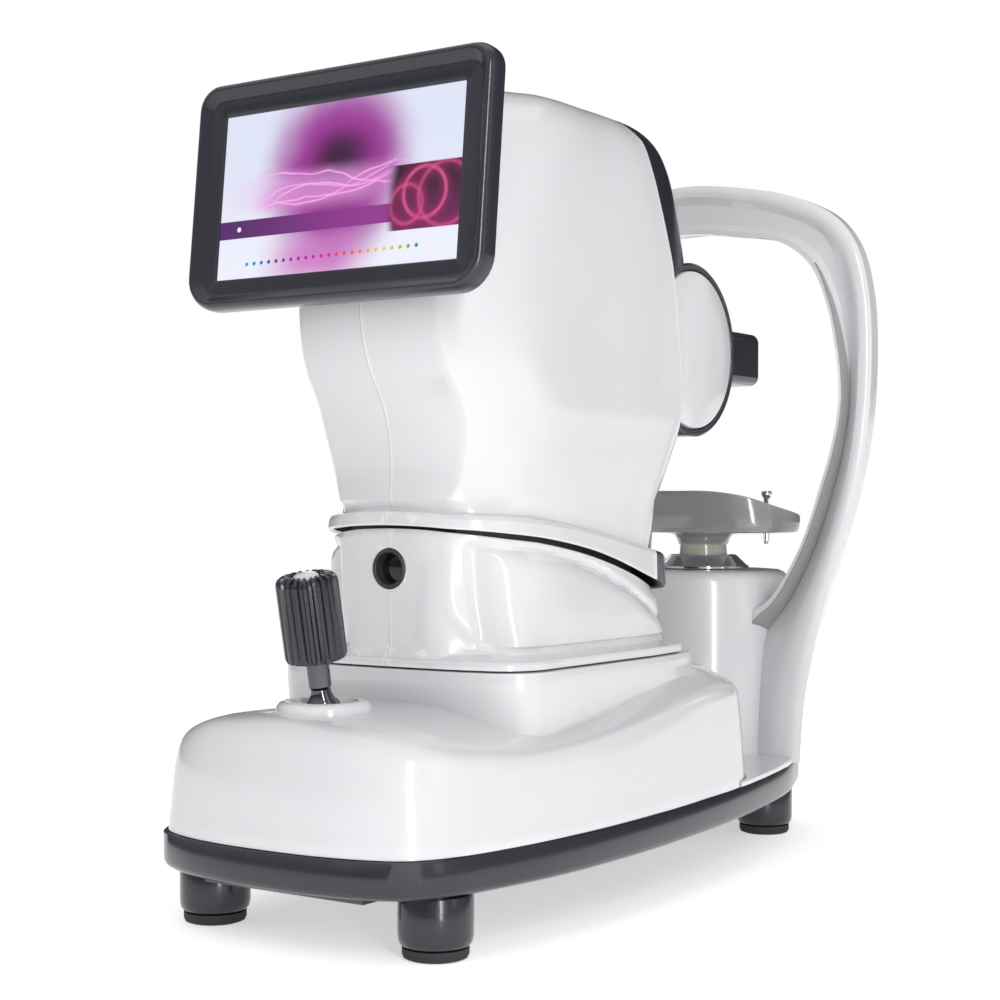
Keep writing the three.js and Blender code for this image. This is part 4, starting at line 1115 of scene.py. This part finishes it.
# ------------------------------------------------------------------ joystick
def make_joystick():
    y, z, lean = STICK["y"], STICK["z"], STICK["lean"]
    boss = turned(
        [
            (18, 103), (23.6, 103), (24, 104), (24, 112), (23.6, 114.4), (22, 116.4), (19.6, 117.2),
            (17.2, 117), (16.7, 115.8), (16, 114), (15.2, 113.2), (14.8, 111.4), (18, 108), (18, 103),
        ],
        0, y - 1, 96,
    )
    finish(mesh_object("stick_boss", boss), "base", WHITE, "white_plastic", ["joystick_boss"])
    node_finish(STEEL, "joystick_gimbal", bevel=0.4)
    ball = turned(
        [
            (0, -8.6), (4, -7.6), (7.2, -4.8), (8.6, -0.5), (8.4, 3.2), (7.6, 6), (8.2, 8.4), (8.9, 11),
            (8.6, 12.2), (6.4, 14.6), (5.2, 17.4), (4.9, 19.6), (5.4, 20.4), (5.75, 21), (5.75, 33.4),
            (4, 33.4), (4, 68), (0, 68),
        ],
        steps=72,
    )
    stick = mesh_object("stick_shaft", leaned(ball, lean, y, z))
    finish(stick, "joystick_stick", DARK_CHROME, "chrome", ["joystick_stick"], angle=30)

    flutes = 20
    around = flutes * 12

    def fluted(radius, height, depth, crown=0.0):
        ring = []
        for step in range(around):
            turn = step / around * math.tau
            ridge = max(0.0, min(1.0, 0.5 + 1.15 * math.cos(turn * flutes)))
            reach = radius - depth * (1 - ridge)
            ring.append(Vector((reach * math.cos(turn), reach * math.sin(turn), height + crown * ridge)))
        return ring

    rings = [
        fluted(5.6, 34.2, 0), fluted(12.6, 34.2, 0), fluted(14.6, 34.8, 0.4), fluted(15.5, 36.8, 1.3),
        fluted(15.5, 55, 1.4), fluted(15.5, 72.6, 1.3), fluted(15.1, 74.2, 1.1, 0.8),
        fluted(14.2, 75, 0.9, 1.2), fluted(12.6, 75.6, 0.8, 1.6), fluted(9.4, 76, 0.8, 1.7),
        fluted(8.4, 75.6, 0.4, 1.4), fluted(7.2, 73.4, 0), fluted(7.1, 70, 0), fluted(5.6, 69.4, 0),
        fluted(5.6, 34.2, 0),
    ]
    grip = mesh_object("stick_grip", leaned(loft(rings), lean, y, z))
    finish(grip, "joystick_knob", SLATE, "slate_plastic", ["joystick_knob"], angle=45)
    cap = turned(
        [(0, 73.8), (6.5, 73.8), (6.6, 74.4), (6.6, 76.2), (6, 77.2), (4.8, 78), (2.6, 78.5), (0, 78.6)],
        steps=64,
    )
    button = mesh_object("trigger_button", leaned(cap, lean, y, z))
    finish(button, "measure_button", WHITE, "white_plastic", ["measure_button"])


# ------------------------------------------------------------------ CAD nodes that keep their shape
def finish_works():
    node_finish(DEEP, "power_inlet", "power_rocker", "lift_motor", "chin_motor", "optical_unit")
    node_finish(ALUMINIUM, "bed_plate", "cross_carriage", "stage_plate", "head_frame", bevel=0)
    node_finish(STEEL, "cross_rail_front", "cross_rail_rear", "fore_rail_left", "fore_rail_right", bevel=0.3)
    node_finish(STEEL, "lift_post_left", "lift_post_right", "lift_screw", "power_supply", bevel=0.3)
    node_finish(BOARD, "main_board", bevel=0)


# ------------------------------------------------------------------ stage, lights and camera
# Soft light from the sky: the way it comes from, where it starts and is full as a cosine, and its strength.
# The last row is even all round.
SKY = (
    ((0.9, -0.22, 0.38), 0.1, 1.0, 0.42),
    ((-0.35, -0.3, 0.88), 0.3, 1.0, 0.78),
    ((0, 0, 1), -3, -2, 0.07),
)
# Softboxes: name, place in metres, watts, width and height in metres.
LAMPS = (
    ("key", (-0.3, -1.7, 0.9), 0.4, 0.3, 1.2),
    ("strip", (0.98, -0.9, 0.5), 9.0, 0.12, 1.2),
    ("side", (1.8, -0.1, 1.0), 1.6, 0.3, 1.5),
    ("top", (0.1, 0.2, 2.0), 2.5, 0.8, 1.6),
    ("rim", (-1.2, 1.3, 1.0), 2.0, 0.4, 1.4),
)
CAMERA = {"place": (0.58962, -0.91435, 0.21163), "pitch": 90.298, "turn": 34.326, "lens": 66.6}


def make_stage():
    floor = bmesh.new()
    bmesh.ops.create_grid(floor, x_segments=1, y_segments=1, size=30000)
    ground = mesh_object("floor", floor)
    pale = Finish("pale_floor")
    tone = pale.noise(2, 2)
    ground.data.materials.append(pale.set(
        Base_Color=pale.mix(tone, (0.93, 0.93, 0.93), (0.95, 0.95, 0.95)),
        Emission_Color=(1, 1, 1),
        Emission_Strength=0.5,
        Roughness=0.75,
    ))

    world = bpy.data.worlds.new("studio")
    bpy.context.scene.world = world
    world.use_nodes = True
    tree = world.node_tree
    soft, plain = tree.nodes["Background"], tree.nodes.new("ShaderNodeBackground")
    soft.inputs["Color"].default_value = (0.98, 0.99, 1, 1)
    plain.inputs["Color"].default_value = (1, 1, 1, 1)
    plain.inputs["Strength"].default_value = 1.0
    direction = tree.nodes.new("ShaderNodeTexCoord").outputs["Generated"]
    total = None
    for aim, low, high, strength in SKY:
        facing = tree.nodes.new("ShaderNodeVectorMath")
        facing.operation = "DOT_PRODUCT"
        tree.links.new(direction, facing.inputs[0])
        facing.inputs[1].default_value = Vector(aim).normalized()
        spread = tree.nodes.new("ShaderNodeMapRange")
        spread.interpolation_type = "SMOOTHSTEP"
        tree.links.new(facing.outputs["Value"], spread.inputs["Value"])
        for socket, value in (("From Min", low), ("From Max", high), ("To Max", strength)):
            spread.inputs[socket].default_value = value
        if total:
            added = tree.nodes.new("ShaderNodeMath")
            tree.links.new(total, added.inputs[0])
            tree.links.new(spread.outputs["Result"], added.inputs[1])
            total = added.outputs[0]
        else:
            total = spread.outputs["Result"]
    tree.links.new(total, soft.inputs["Strength"])
    path, join = tree.nodes.new("ShaderNodeLightPath"), tree.nodes.new("ShaderNodeMixShader")
    tree.links.new(path.outputs["Is Camera Ray"], join.inputs[0])
    tree.links.new(soft.outputs[0], join.inputs[1])
    tree.links.new(plain.outputs[0], join.inputs[2])
    tree.links.new(join.outputs[0], tree.nodes["World Output"].inputs[0])

    for name, place, power, width, height in LAMPS:
        data = bpy.data.lights.new(name, "AREA")
        data.shape = "RECTANGLE"
        data.energy = power
        data.size = width
        data.size_y = height
        lamp = bpy.data.objects.new(name, data)
        bpy.context.scene.collection.objects.link(lamp)
        lamp.location = place
        lamp.rotation_euler = (Vector((0, 0, 0.22)) - Vector(place)).to_track_quat("-Z", "Y").to_euler()
        lamp.visible_camera = False


def make_camera():
    data = bpy.data.cameras.new("camera")
    data.sensor_width = 36
    data.lens = CAMERA["lens"]
    camera = bpy.data.objects.new("camera", data)
    bpy.context.scene.collection.objects.link(camera)
    camera.location = CAMERA["place"]
    camera.rotation_euler = (math.radians(CAMERA["pitch"]), 0, math.radians(CAMERA["turn"]))
    bpy.context.scene.camera = camera


make_camera()
make_stage()
make_chassis()
make_feet()
make_base_cover()
make_neck()
make_head()
make_drum()
make_window()
make_monitor()
make_arch()
make_pillar()
make_chin_cup()
make_joystick()
finish_works()

bpy.context.scene.view_settings.view_transform = "Standard"
